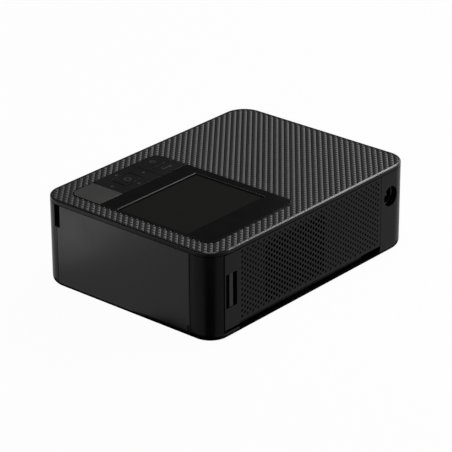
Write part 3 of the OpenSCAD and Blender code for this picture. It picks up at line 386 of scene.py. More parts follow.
def counted_grid(tree, columns, rows, size_x, size_y):
    """Grid mesh, with the X and Y of its points."""
    grid = add(
        tree,
        "GeometryNodeMeshGrid",
        {"Size X": size_x, "Size Y": size_y, "Vertices X": columns, "Vertices Y": rows},
    )
    position = add(tree, "GeometryNodeInputPosition").outputs[0]
    spot = add(tree, "ShaderNodeSeparateXYZ", {"Vector": position})
    return grid.outputs[0], spot.outputs[0], spot.outputs[1]


def move_points(tree, geometry, place):
    moved = add(tree, "GeometryNodeSetPosition", {"Geometry": geometry, "Position": place})
    return moved.outputs[0]


def raise_faces(tree, mesh, height, each=False, **inputs):
    """Extrudes faces straight up, together or each on its own."""
    return add(
        tree,
        "GeometryNodeExtrudeMesh",
        {"Mesh": mesh, "Offset": (0, 0, 1), "Offset Scale": height, "Individual": each, **inputs},
        mode="FACES",
    )


def close_below(tree, raised, face):
    """Welds the flipped first face under the walls that were raised from it."""
    underside = add(tree, "GeometryNodeFlipFaces", {"Mesh": face})
    both = add(tree, "GeometryNodeJoinGeometry")
    tree.links.new(raised, both.inputs[0])
    tree.links.new(underside.outputs[0], both.inputs[0])
    welded = add(
        tree, "GeometryNodeMergeByDistance", {"Geometry": both.outputs[0], "Distance": WELD}
    )
    return welded.outputs[0]


def cut_away(tree, body, *cutters):
    """Body less every cutter."""
    cut = add(
        tree,
        "GeometryNodeMeshBoolean",
        {"Mesh 1": body},
        operation="DIFFERENCE",
        solver="MANIFOLD",
    )
    for cutter in cutters:
        tree.links.new(cutter, cut.inputs["Mesh 2"])
    return cut.outputs["Mesh"]


def dress(obj, node, material):
    """Puts a piece in the place of a CAD node, with the given finish and that node's body, and
    hides the node.
    """
    obj.data.materials.clear()
    obj.data.materials.append(material)
    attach(obj, BODY_OF[node])
    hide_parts(node)


# ---- Sizes and colours ---------------------------------------------------------------


def length(name, description, mm):
    return FloatProperty(
        name=name, description=description, default=mm * MM, subtype="DISTANCE", unit="LENGTH"
    )


def colour(name, description, hex_colour):
    return FloatVectorProperty(
        name=name,
        description=description,
        default=linear(hex_colour),
        size=4,
        min=0,
        max=1,
        subtype="COLOR",
    )


class PrinterSizes(bpy.types.PropertyGroup):
    """Sizes of the detail that the CAD model leaves plain"""

    relief_width: length("Relief width", "Width of one raised diamond of the top cover", 5.2)
    relief_depth: length("Relief depth", "Front to back size of one raised diamond", 4.27)
    relief_height: length("Relief height", "How far the diamonds stand above their grooves", 0.5)
    relief_flat: FloatProperty(
        name="Relief flat", description="Share of a diamond that is flat on top", default=0.1
    )
    rim: length("Rim", "Smooth rim between the cover's outer face and the relief", 1.1)
    bead: length("Bead", "Smooth bead round the panel's opening", 0.5)
    edge: length("Edge radius", "Radius of the cover's upper edge", 1.0)
    window_bevel: length("Window bevel", "Bevel of the frame round the display", 0.42)
    key_edge: length("Key edge", "Rounding of the keys' edges", 0.15)
    door_edge: length("Door edge", "Rounding of the doors' edges", 0.35)
    dimple: length("Dimple", "Diameter of a dimple in the vent panel", 2.0)
    dimple_depth: length("Dimple depth", "Depth of a dimple in the vent panel", 0.5)
    pitch_x: length("Dimple pitch X", "Half the lattice spacing along the vent panel", 2.37)
    pitch_z: length("Dimple pitch Z", "Half the lattice spacing up the vent panel", 1.685)
    mark: length("Mark", "How far the printed marks stand proud", 0.03)
    ring_depth: length("Ring depth", "Depth of the step ring in the power inlet", 4.0)


class PrinterColours(bpy.types.PropertyGroup):
    """Colours of the visible finishes"""

    cover: colour("Cover", "Gloss black of the lattice cover", "#151516")
    case: colour("Case", "Satin black of the case walls", "#0c0c0d")
    door: colour("Door", "Satin black of the ink door", "#121213")
    vent: colour("Vent panel", "Satin black of the vent panel", "#0c0c0d")
    panel: colour("Panel", "Gloss black of the control panel", "#0e0e0f")
    display: colour("Display", "Grey of the switched off display", "#1c1c19")
    keys: colour("Keys", "Satin black of the keys", "#19191a")
    print_key: colour("Print key", "Dark grey of the print key", "#414140")
    marks: colour("Marks", "Grey of the printed marks", "#3e3e3d")
    floor: colour("Floor", "Pale floor", "#d2d2d2")


def sizes():
    return bpy.context.scene.printer_sizes


def colours():
    return bpy.context.scene.printer_colours


# ---- Visible finishes ----------------------------------------------------------------


def gloss_cover():
    # ABS moulded in a polished tool: deep black with mirror glints, and a faint haze
    return moulded(
        "ABS_gloss_black_moulded",
        tuple(colours().cover),
        0.2,
        size=3.0,
        depth=0.004,
        mottle=0.1,
        gloss=0.04,
        Specular_IOR_Level=0.6,
    )


def satin_case(name, colour_value, roughness, specular):
    # ABS from a spark-eroded tool: a fine even grain that breaks the light up softly
    return moulded(
        name,
        tuple(colour_value),
        roughness,
        size=0.6,
        depth=0.012,
        mottle=0.08,
        gloss=0.04,
        Specular_IOR_Level=specular,
    )


def display_glass():
    # Acrylic window over a dark display: a black printed border round the grey active area
    material, tree, shader, place = start_material(
        "Acrylic_display_window", tuple(colours().display), 0.08, Specular_IOR_Level=0.12
    )
    low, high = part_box("display_window")
    inset, soft_edge = 1.4 * MM, 0.15 * MM
    split = add(tree, "ShaderNodeSeparateXYZ", {"Vector": place})
    inside = None
    for axis in (0, 1):
        centre = (low[axis] + high[axis]) / 2
        reach = (high[axis] - low[axis]) / 2 - inset
        offset = minus(tree, split.outputs[axis], centre)
        distance = maths(tree, "ABSOLUTE", offset, 0)
        soft = between(tree, distance, 1, 0, reach - soft_edge, reach + soft_edge)
        inside = soft if inside is None else times(tree, inside, soft)
    cells = grain(tree, place, 0.4 * MM, 1)
    area = tint(
        tree,
        between(tree, cells, 0, 1),
        shade(tuple(colours().display), 0.94),
        shade(tuple(colours().display), 1.06),
    )
    border = tint(tree, inside, linear("#0a0a0b"), (0, 0, 0, 1))
    tree.links.new(area, border.node.inputs[7])
    tree.links.new(border, shader.inputs["Base Color"])
    smear = grain(tree, place, 22 * MM, 3)
    tree.links.new(between(tree, smear, 0.06, 0.14), shader.inputs["Roughness"])
    return material


# ---- Pieces --------------------------------------------------------------------------


def prism(tree, x0, y0, x1, y1, radius, bottom, top):
    """Upright solid over a rectangle with round corners."""
    sides = add(
        tree,
        "GeometryNodeCurvePrimitiveQuadrilateral",
        {"Width": minus(tree, x1, x0), "Height": minus(tree, y1, y0)},
        mode="RECTANGLE",
    )
    rounded = add(
        tree,
        "GeometryNodeFilletCurve",
        {"Curve": sides.outputs[0], "Radius": radius, "Count": 16},
        mode="POLY",
    )
    face = add(tree, "GeometryNodeFillCurve", {"Curve": rounded.outputs[0]}, mode="NGONS")
    walls = raise_faces(tree, face.outputs[0], minus(tree, top, bottom))
    closed = close_below(tree, walls.outputs[0], face.outputs[0])
    # The filled face lies at the origin, so the solid is moved to its place at the end
    middle = combine(
        tree,
        times(tree, plus(tree, x0, x1), 0.5),
        times(tree, plus(tree, y0, y1), 0.5),
        bottom,
    )
    placed = add(tree, "GeometryNodeTransform", {"Geometry": closed, "Translation": middle})
    return placed.outputs[0]


def lattice(tree, given, valley):
    """Slab whose top is a lattice of low diamond pyramids that stand on the valley level."""
    cells = given["Cells"]
    points = plus(tree, cells, 1)
    grid, u, v = counted_grid(tree, points, points, cells, cells)
    slab_thickness = 3 * MM
    # Keeps the pyramids' tips just under the cover's top
    tip_gap = 0.02 * MM
    skewed = combine(
        tree,
        times(tree, plus(tree, u, v), times(tree, given["Cell Width"], 0.5)),
        times(tree, minus(tree, v, u), times(tree, given["Cell Depth"], 0.5)),
        minus(tree, valley, slab_thickness),
    )
    floor = move_points(tree, grid, skewed)
    slab = raise_faces(tree, floor, slab_thickness)
    diamonds = raise_faces(
        tree,
        slab.outputs["Mesh"],
        minus(tree, given["Height"], tip_gap),
        each=True,
        Selection=slab.outputs["Top"],
    )
    tapered = add(
        tree,
        "GeometryNodeScaleElements",
        {
            "Geometry": diamonds.outputs["Mesh"],
            "Selection": diamonds.outputs["Top"],
            "Scale": given["Flat Share"],
        },
        domain="FACE",
    )
    return close_below(tree, tapered.outputs[0], floor)


def relief_tree():
    """Cuts grooves into a plate so that a lattice of low diamond pyramids is left standing."""
    opening_inputs = ("Opening X0", "Opening Y0", "Opening X1", "Opening Y1", "Opening Radius")
    tree, given = start_tree(
        "Lattice relief",
        lengths=(
            "Cell Width",
            "Cell Depth",
            "Height",
            "Flat Share",
            "Top",
            "Half Width",
            "Half Depth",
            "Corner",
            "Rim",
            "Bead",
            *opening_inputs,
        ),
        counts=("Cells",),
    )
    top, rim, bead = given["Top"], given["Rim"], given["Bead"]
    x0, y0, x1, y1, radius = (given[name] for name in opening_inputs)
    valley = minus(tree, top, given["Height"])
    diamonds = lattice(tree, given, valley)
    reach_x = minus(tree, given["Half Width"], rim)
    reach_y = minus(tree, given["Half Depth"], rim)
    zone = prism(
        tree,
        times(tree, reach_x, -1),
        times(tree, reach_y, -1),
        reach_x,
        reach_y,
        minus(tree, given["Corner"], rim),
        minus(tree, valley, 0.01 * MM),
        plus(tree, top, MM),
    )
    # Where the bead round the opening stays smooth
    beading = prism(
        tree,
        minus(tree, x0, bead),
        minus(tree, y0, bead),
        plus(tree, x1, bead),
        plus(tree, y1, bead),
        plus(tree, radius, bead),
        minus(tree, valley, MM),
        plus(tree, top, 2 * MM),
    )
    opening = prism(
        tree, x0, y0, x1, y1, radius, minus(tree, top, 8 * MM), plus(tree, top, 3 * MM)
    )
    grooves = cut_away(tree, zone, diamonds, beading)
    return end_tree(tree, given, cut_away(tree, given["Geometry"], grooves, opening))


class PRINTER_OT_top_cover(bpy.types.Operator):
    """Make the top cover with its lattice relief, smooth rim and bead"""

    bl_idname = "printer.top_cover"
    bl_label = "Top cover"

    def execute(self, context):
        s = sizes()
        low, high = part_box("top_cover")
        wall, plate, chamfer = 2.2 * MM, 2 * MM, 0.06 * MM
        # The skin from inside to outside, as inset from the cover's side and height
        profile = [
            (wall, high[2] - plate),
            (wall, low[2]),
            (chamfer, low[2]),
            (0, low[2] + chamfer),
        ]
        for x, z in arc((s.edge, high[2] - s.edge), s.edge, 180, 90, 9):
            profile.append((x, z))
        rings = []
        for inset, z in profile:
            x0, y0 = low[0] + inset, low[1] + inset
            x1, y1 = high[0] - inset, high[1] - inset
            edge = outline(x0, y0, x1, y1, BODY_CORNER - inset, 20)
            rings.append([(x, y, z) for x, y in edge])
        cover = new_object("top_cover_relief", loft("top_cover_relief", rings))
        finish = gloss_cover()
        run_nodes(
            cover,
            relief_tree(),
            **{
                "Cell Width": s.relief_width,
                "Cell Depth": s.relief_depth,
                "Height": s.relief_height,
                "Flat Share": s.relief_flat,
                "Top": high[2],
                "Half Width": high[0],
                "Half Depth": high[1],
                "Corner": BODY_CORNER,
                "Rim": s.rim,
                "Bead": s.bead,
                "Opening X0": PANEL_LOW[0],
                "Opening Y0": PANEL_LOW[1],
                "Opening X1": PANEL_HIGH[0],
                "Opening Y1": PANEL_HIGH[1],
                "Opening Radius": PANEL_CORNER,
                "Cells": 70,
                "Material": finish,
            },
        )
        smooth(cover, 15)
        dress(cover, "top_cover", finish)
        # The upright side of the cover is satin like the case below it
        side = satin_case("ABS_satin_black_cover_side", colours().case, *CASE_GLOSS)
        cover.data.materials.append(side)
        for polygon in cover.data.polygons:
            if abs(polygon.normal.z) < 0.3 and polygon.center.z < high[2] - 0.9 * s.edge:
                polygon.material_index = 1
        return {"FINISHED"}


def dimple_tree():
    """Cuts cone shaped dimples on two lattices that lie half a step apart."""
    tree, given = start_tree(
        "Dimples",
        lengths=("Radius", "Depth", "Pitch X", "Pitch Z", "Centre X", "Centre Z", "Face Y"),
    )
    # The cones start in front of the panel, so that they cut its face cleanly
    proud = 0.2 * MM
    cone = add(
        tree,
        "GeometryNodeMeshCone",
        {
            "Vertices": 10,
            "Radius Bottom": given["Radius"],
            "Radius Top": times(tree, given["Radius"], 0.7),
            "Depth": plus(tree, given["Depth"], proud),
        },
        fill_type="NGON",
    )
    turned = add(
        tree,
        "GeometryNodeTransform",
        {"Geometry": cone.outputs[0], "Rotation": (math.radians(90), 0, 0)},
    )
    collected = add(tree, "GeometryNodeJoinGeometry")
    # Two lattices: first column and row, counted from the corner of the through-holes, and
    # how many columns and rows there are
    for first_x, first_z, across, up in ((-22, 0, 27, 12), (-21, -1, 27, 13)):
        grid, x, y = counted_grid(tree, across, up, across - 1, up - 1)
        # In half pitches from the middle of the through-holes, which reach 11 across, 10.5 up
        column = plus(tree, times(tree, x, 2), first_x + (across - 1) - 11)
        row = plus(tree, times(tree, y, 2), first_z + (up - 1) - 10.5)
        # Points in front of the fan are through-holes already
        in_x = maths(tree, "LESS_THAN", maths(tree, "ABSOLUTE", column, 0), 11.5)
        in_z = maths(tree, "LESS_THAN", maths(tree, "ABSOLUTE", row, 0), 11)
        kept = add(
            tree,
            "GeometryNodeDeleteGeometry",
            {"Geometry": grid, "Selection": times(tree, in_x, in_z)},
            domain="POINT",
        )
        place = combine(
            tree,
            plus(tree, times(tree, column, given["Pitch X"]), given["Centre X"]),
            plus(tree, given["Face Y"], proud),
            plus(tree, times(tree, row, given["Pitch Z"]), given["Centre Z"]),
        )
        spread = add(
            tree,
            "GeometryNodeInstanceOnPoints",
            {
                "Points": move_points(tree, kept.outputs[0], place),
                "Instance": turned.outputs[0],
            },
        )
        tree.links.new(spread.outputs[0], collected.inputs[0])
    cutters = add(tree, "GeometryNodeRealizeInstances", {"Geometry": collected.outputs[0]})
    cut = cut_away(tree, given["Geometry"], cutters.outputs[0])
    return end_tree(tree, given, cut)


class PRINTER_OT_vent_panel(bpy.types.Operator):
    """Make the vent panel with its dimples round the through-holes"""

    bl_idname = "printer.vent_panel"
    bl_label = "Vent panel"

    def execute(self, context):
        s = sizes()
        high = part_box("vent_panel")[1]
        mesh = merged_copy("vent_panel", "vent_panel_dimpled")
        panel = new_object("vent_panel_dimpled", mesh)
        finish = satin_case("ABS_satin_black_vent_panel", colours().vent, *CASE_GLOSS)
        run_nodes(
            panel,
            dimple_tree(),
            **{
                "Radius": s.dimple / 2,
                "Depth": s.dimple_depth,
                "Pitch X": s.pitch_x,
                "Pitch Z": s.pitch_z,
                "Centre X": VENT_CENTRE[0],
                "Centre Z": VENT_CENTRE[1],
                "Face Y": high[1],
                "Material": finish,
            },
        )
        smooth(panel)
        dress(panel, "vent_panel", finish)
        return {"FINISHED"}


def at_level(axis, level):
    """Test that picks the edges that lie at a level of an axis."""
    return lambda edge: all(near(v.co[axis], level) for v in edge.verts)


on_top = at_level(2, TOP)


class PRINTER_OT_control_panel(bpy.types.Operator):
    """Make the control panel's face with its bevelled display frame, and the window"""

    bl_idname = "printer.control_panel"
    bl_label = "Control panel"

    def execute(self, context):
        # Acrylic-faced ABS: piano black with a hard mirror edge
        finish = moulded(
            "Acrylic_gloss_black_panel",
            tuple(colours().panel),
            0.16,
            size=2.5,
            depth=0.002,
            mottle=0.1,
            gloss=0.04,
            Specular_IOR_Level=0.1,
        )
        mesh = merged_copy("control_panel", "control_panel_face")

        def window_rim(edge):
            slack = 0.1 * MM
            return on_top(edge) and all(
                WINDOW_LOW[0] - slack < v.co.x < WINDOW_HIGH[0] + slack
                and WINDOW_LOW[1] - slack < v.co.y < WINDOW_HIGH[1] + slack
                for v in edge.verts
            )

        def outer_edge(edge):
            beside = all(abs(v.co.x - 43 * MM) >= 34.6 * MM for v in edge.verts)
            beyond = all(v.co.y < -29 * MM or v.co.y > 50 * MM for v in edge.verts)
            return on_top(edge) and (beside or beyond)

        round_edges(mesh, window_rim, sizes().window_bevel, 1)
        round_edges(mesh, outer_edge, 0.2 * MM, 2)
        face = new_object("control_panel_face", mesh)
        smooth(face)
        dress(face, "control_panel", finish)
        # Chromed bevel of the display frame: a thin bright line where it meets the light
        trim = metal("Chrome_dark_plated_bevel", linear("#8c8c8c"), 0.22, size=1.5, depth=0.001)
        face.data.materials.append(trim)
        for polygon in face.data.polygons:
            if 0.3 < polygon.normal.z < 0.95 and polygon.center.z < TOP - 0.2 * MM:
                polygon.material_index = 1

        glass = merged_copy("display_window", "display_window_glass")
        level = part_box("display_window")[1][2]
        round_edges(glass, at_level(2, level), 0.15 * MM, 1)
        window = new_object("display_window_glass", glass)
        smooth(window)
        dress(window, "display_window", display_glass())
        return {"FINISHED"}


def flat_mark(name, shapes, level, node, material):
    """Thin printed marks over a key, from outlines in mm; a pair of outlines makes a ring."""
    thick = sizes().mark
    verts, faces = [], []
    for shape in shapes:
        loops = shape if isinstance(shape[0][0], (tuple, list)) else [shape]
        count = len(loops[0])
        start = len(verts)
        for z in (level - 0.02 * MM, level + thick):
            for loop in loops:
                verts += [(x * MM, y * MM, z) for x, y in loop]
        step = count * len(loops)
        for k in range(count):
            a, b = start + k, start + (k + 1) % count
            faces.append((a, b, b + step, a + step))
            if len(loops) == 2:
                faces.append((b + count, a + count, a + count + step, b + count + step))
                faces.append((a + step, b + step, b + step + count, a + step + count))
                faces.append((b, a, a + count, b + count))
        if len(loops) == 1:
            faces.append(tuple(range(start + count - 1, start - 1, -1)))
            faces.append(tuple(range(start + step, start + step + count)))
    mark = new_object(name, mesh_from(name, verts, faces))
    mark.data.materials.append(material)
    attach(mark, BODY_OF[node])
    return mark


class PRINTER_OT_keys(bpy.types.Operator):
    """Make the keys with rounded edges, and their printed marks"""

    bl_idname = "printer.keys"
    bl_label = "Keys"

    def execute(self, context):
        s = sizes()
        # ABS keys with a silky paint: soft broad sheen
        dark = satin_case("ABS_satin_black_keys", colours().keys, 0.3, 0.13)
        pale = satin_case("ABS_satin_grey_print_key", colours().print_key, 0.3, 0.35)
        for node in ("back_button", "power_button", "print_button", "ok_button", "arrow_pad"):
            mesh = merged_copy(node, f"{node}_cap")
            round_edges(mesh, on_top, s.key_edge, 3)
            cap = new_object(f"{node}_cap", mesh)
            smooth(cap)
            dress(cap, node, pale if node == "print_button" else dark)
        # Pad-printed ink: thin flat grey with a dry edge
        ink = moulded(
            "Ink_grey_pad_printed", tuple(colours().marks), 0.5, size=0.3, depth=0.003, mottle=0.06
        )
        # Outlines in mm: a return arrow, a broken ring with a bar, four heads and a ring
        arrow = [(9.6, -36.3), (11.4, -35.0), (11.4, -36.05), (15.8, -36.05)]
        arrow += [(15.8, -36.55), (11.4, -36.55), (11.4, -37.6)]
        back_mark = [arrow, arc_band((15.8, -37.3), 1.0, 0.5, 90, -90)]
        flat_mark("back_mark", back_mark, TOP, "back_button", ink)
        power_mark = [
            arc_band((12.9, -48.5), 1.7, 0.5, 125, 415),
            [(12.65, -48.3), (13.15, -48.3), (13.15, -46.2), (12.65, -46.2)],
        ]
        flat_mark("power_mark", power_mark, TOP, "power_button", ink)
        heads = [
            triangle((28.4, -42.0), 1.3, 180),
            triangle((55.6, -42.0), 1.3, 0),
            triangle((41.9, -33.1), 1.3, 90),
            triangle((41.9, -51.4), 1.3, -90),
        ]
        flat_mark("pad_marks", heads, TOP, "arrow_pad", ink)
        ring = tuple(arc((41.9, -42.25), radius, 0, 345, 23) for radius in (2.2, 1.7))
        flat_mark("ok_mark", [ring], TOP, "ok_button", ink)
        return {"FINISHED"}


class PRINTER_OT_inlet_ring(bpy.types.Operator):
    """Make the step ring deep inside the power inlet"""

    bl_idname = "printer.inlet_ring"
    bl_label = "Inlet ring"

    def execute(self, context):
        low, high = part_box("inlet_pin")
        centre = ((low[0] + high[0]) / 2, (low[2] + high[2]) / 2)
        outer, inner, chamfer = 6.38 * MM, 5.75 * MM, 0.25 * MM
        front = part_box("outer_case")[1][1] - sizes().ring_depth
        back = front - 1.2 * MM
        # Section of the ring: a flat step with its inner edge broken
        section = (
            (outer, back),
            (outer, front),
            (inner + chamfer, front),
            (inner, front - chamfer),
            (inner, back),
        )
        steps = 48
        verts, faces = [], []
        for k in range(steps):
            a = math.radians(360 * k / steps)
            verts += [
                (centre[0] + r * math.cos(a), y, centre[1] + r * math.sin(a)) for r, y in section
            ]
        count = len(section)
        for k in range(steps):
            after = (k + 1) % steps
            for j in range(count):
                j2 = (j + 1) % count
                faces.append(
                    (k * count + j, k * count + j2, after * count + j2, after * count + j)
                )
        ring = new_object("inlet_ring", mesh_from("inlet_ring", verts, faces))
        # Nickel-plated brass contact sleeve, its colour darkened to paint the shade inside its cup
        sleeve = metal("Nickel_sleeve_painted_shade", linear("#3c3c3c"), 0.4, size=0.8)
        ring.data.materials.append(sleeve)
        smooth(ring)
        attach(ring, BODY_OF["power_inlet"])
        return {"FINISHED"}


class PRINTER_OT_ink_door(bpy.types.Operator):
    """Make the ink door with rounded edges"""

    bl_idname = "printer.ink_door"
    bl_label = "Ink door"

    def execute(self, context):
        mesh = merged_copy("ink_door", "ink_door_skin")
        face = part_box("ink_door")[1][0]
        round_edges(mesh, at_level(0, face), sizes().door_edge, 3)
        door = new_object("ink_door_skin", mesh)
        smooth(door)
        finish = satin_case("ABS_satin_black_door", colours().door, *DOOR_GLOSS)
        dress(door, "ink_door", finish)
        return {"FINISHED"}


class PRINTER_OT_front_cover(bpy.types.Operator):
    """Make the paper compartment's cover with rounded edges"""

    bl_idname = "printer.front_cover"
    bl_label = "Front cover"

    def execute(self, context):
        mesh = merged_copy("front_cover", "front_cover_skin")
        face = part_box("front_cover")[0][1]
        round_edges(mesh, at_level(1, face), sizes().door_edge, 3)
        cover = new_object("front_cover_skin", mesh)
        smooth(cover)
        finish = satin_case("ABS_satin_black_cover", colours().case, *CASE_GLOSS)
        dress(cover, "front_cover", finish)
        return {"FINISHED"}


# ---- Finishes of the CAD nodes -------------------------------------------------------


def node_finishes():
    """Finish of each CAD node that keeps its own shape."""
    case = colours().case
    shell = satin_case("ABS_satin_black_case", case, *CASE_GLOSS)
    # Vulcanised rubber: dull, nearly black, with a soft grain
    rubber = moulded("Rubber_black_vulcanised", linear("#1b1b1b"), 0.8, size=0.8, depth=0.03)
    # Silicone rollers, ground after moulding: pale and matt
    silicone = moulded("Silicone_grey_ground", linear("#55565a"), 0.65, size=0.3, depth=0.02)
    # Ground rubber sleeve on the pick-up roller
    grip = moulded("Rubber_dark_ground", linear("#2b2b2d"), 0.75, size=0.4, depth=0.04)
    # Acetal gears: milky white with a waxy sheen
    acetal = moulded("Acetal_white_moulded", linear("#d8d6cc"), 0.38, size=0.8, depth=0.004)
    # Galvanised steel sheet: cool grey with a faint spangle
    sheet = metal("Steel_galvanised_sheet", linear("#a9adb2"), 0.38, size=5, depth=0.003)
    # Ground steel shafts: streaks run round the bar
    ground = metal("Steel_ground_shaft", linear("#b9bbbe"), 0.2, (1, 0.05, 0.05), size=0.1)
    # Zinc-plated screws
    zinc = metal("Steel_zinc_plated", linear("#9fa2a6"), 0.3, size=0.6)
    # Nickel-plated contact, its colour darkened to paint the shade deep in its cup
    pin = metal("Nickel_contact_painted_shade", linear("#3a3a3a"), 0.5, size=0.5)
    # Drawn steel motor cans
    can = metal("Steel_drawn_motor_can", linear("#8f9296"), 0.3, (0.05, 1, 1), size=0.2)
    # Oil-filled sintered bronze
    bronze = metal("Bronze_sintered", linear("#8c6a3c"), 0.55, size=0.3, depth=0.01)
    # Brass motor pinions, cut
    brass = metal("Brass_cut_pinion", linear("#b08d4a"), 0.3, (0.1, 1, 1), size=0.2)
    # Extruded aluminium heat sink: fine lines along its length
    sink = metal("Aluminium_extruded", linear("#a5a8ab"), 0.35, (0.02, 1, 1), size=0.2)
    # Tinned metal cans of the sockets
    tinned = metal("Steel_tinned_socket", linear("#6c6e70"), 0.42, size=1.5)
    # Solder mask over copper: green with slightly raised tracks
    board = circuit_board()
    # Polyester flat cable
    cable = moulded("Polyester_flat_cable", linear("#cfcabb"), 0.35, size=2, depth=0.005)
    # Dye ribbon film: thin, wine red and glossy
    film = moulded("Polyester_ribbon_film", linear("#5a2430"), 0.15, size=6, depth=0.01)
    # Cassette body: blue grey high-impact polystyrene
    cassette = moulded("Polystyrene_cassette", linear("#3f454c"), 0.45, size=0.6, depth=0.012)
    # Nylon latch
    nylon = moulded("Nylon_blue_latch", linear("#3b6ea8"), 0.4, size=0.7, depth=0.006)
    # Glass-filled PBT fan
    fan = moulded("PBT_black_fan", linear("#202123"), 0.5, size=0.4, depth=0.01)
    # Back of the display module: bonded metal frame
    back = metal("Steel_display_frame", linear("#7b7e82"), 0.35, size=1.2)
    # Switch bodies
    switch = moulded("Nylon_pale_switch", linear("#c9c9c6"), 0.45, size=0.6, depth=0.006)
    # Moulded ABS guides, coloured near black to paint the shade inside the printer
    guide = moulded(
        "ABS_guide_painted_shade", linear("#0e0e0f"), 0.6, size=0.6, depth=0.012, Specular_IOR_Level=0.1
    )
    # Black acetal bar in the pocket, a little glossier than the panel
    bar = satin_case("Acetal_black_lock_bar", linear("#1d1d1e"), 0.35, 0.12)
    # Moulded cup of the power inlet
    cup = satin_case("ABS_black_inlet_cup", linear("#0c0c0d"), 0.35, 0.2)
    return {
        shell: ("outer_case", "base_tray"),
        rubber: ("rubber_feet",),
        zinc: ("case_screws",),
        pin: ("inlet_pin",),
        back: ("display_module",),
        board: ("button_board", "main_board"),
        switch: ("key_switches",),
        sheet: ("pad_carrier", "chassis", "gear_plate", "head_arm"),
        bar: ("lock_bar",),
        cup: ("power_inlet",),
        tinned: ("usb_port", "card_slot"),
        cable: ("flat_cable",),
        bronze: ("bushes",),
        ground: (
            "idler_axles",
            "platen_shaft",
            "pinch_shaft",
            "pickup_shaft",
            "head_shaft",
            "takeup_spindle",
            "door_pin",
            "capstan_roller",
        ),
        can: ("feed_motor", "ribbon_motor"),
        brass: ("feed_pinion", "ribbon_pinion"),
        acetal: (
            "idler_gear_a",
            "idler_gear_b",
            "capstan_gear",
            "pickup_gear",
            "takeup_gear",
            "supply_spool",
            "takeup_spool",
        ),
        silicone: ("platen_roller", "pinch_roller"),
        grip: ("pickup_roller",),
        sink: ("print_head",),
        cassette: ("ink_cassette",),
        film: ("ribbon_film",),
        nylon: ("cassette_latch",),
        guide: ("paper_guide", "cassette_guide"),
        fan: ("fan_frame", "fan_rotor"),
    }


def circuit_board():
    """Green solder mask with slightly lighter tracks."""
    material, tree, shader, place = start_material(
        "FR4_green_solder_mask", linear("#1d6b3f"), 0.35
    )
    tracks = add(
        tree,
        "ShaderNodeTexBrick",
        {
            "Vector": place,
            "Color1": linear("#1d6b3f"),
            "Color2": linear("#1a6139"),
            "Mortar": linear("#2f8a55"),
            "Scale": 160,
            "Mortar Size": 0.03,
            "Brick Width": 1.6,
            "Row Height": 0.4,
        },
    )
    tree.links.new(tracks.outputs["Color"], shader.inputs["Base Color"])
    raise_bumps(tree, shader, tracks.outputs["Fac"], 0.02)
    return material


class PRINTER_OT_finishes(bpy.types.Operator):
    """Give every CAD node that keeps its shape its own finish"""

    bl_idname = "printer.finishes"
    bl_label = "Finishes"

    def execute(self, context):
        for material, nodes in node_finishes().items():
            for node in nodes:
                for slot in frame["nodes"][node].material_slots:
                    slot.material = material
        return {"FINISHED"}


# ---- Stage ---------------------------------------------------------------------------


def softbox(name, azimuth, elevation, distance, width, height, radiance):
    """Rectangular lamp at an azimuth and elevation in degrees, turned to the printer."""
    aim = Vector((0, 0, 30 * MM))
    a, e = math.radians(azimuth), math.radians(elevation)
    towards = Vector((math.cos(a) * math.cos(e), math.sin(a) * math.cos(e), math.sin(e)))
    lamp = bpy.data.lights.new(name, "AREA")
    lamp.shape = "RECTANGLE"
    lamp.size, lamp.size_y = width, height
    lamp.energy = radiance * math.pi * width * height
    obj = new_object(name, lamp)
    obj.matrix_world = Matrix.Translation(aim + towards * distance) @ (
        towards.to_track_quat("Z", "Y").to_matrix().to_4x4()
    )
    obj.visible_camera = False


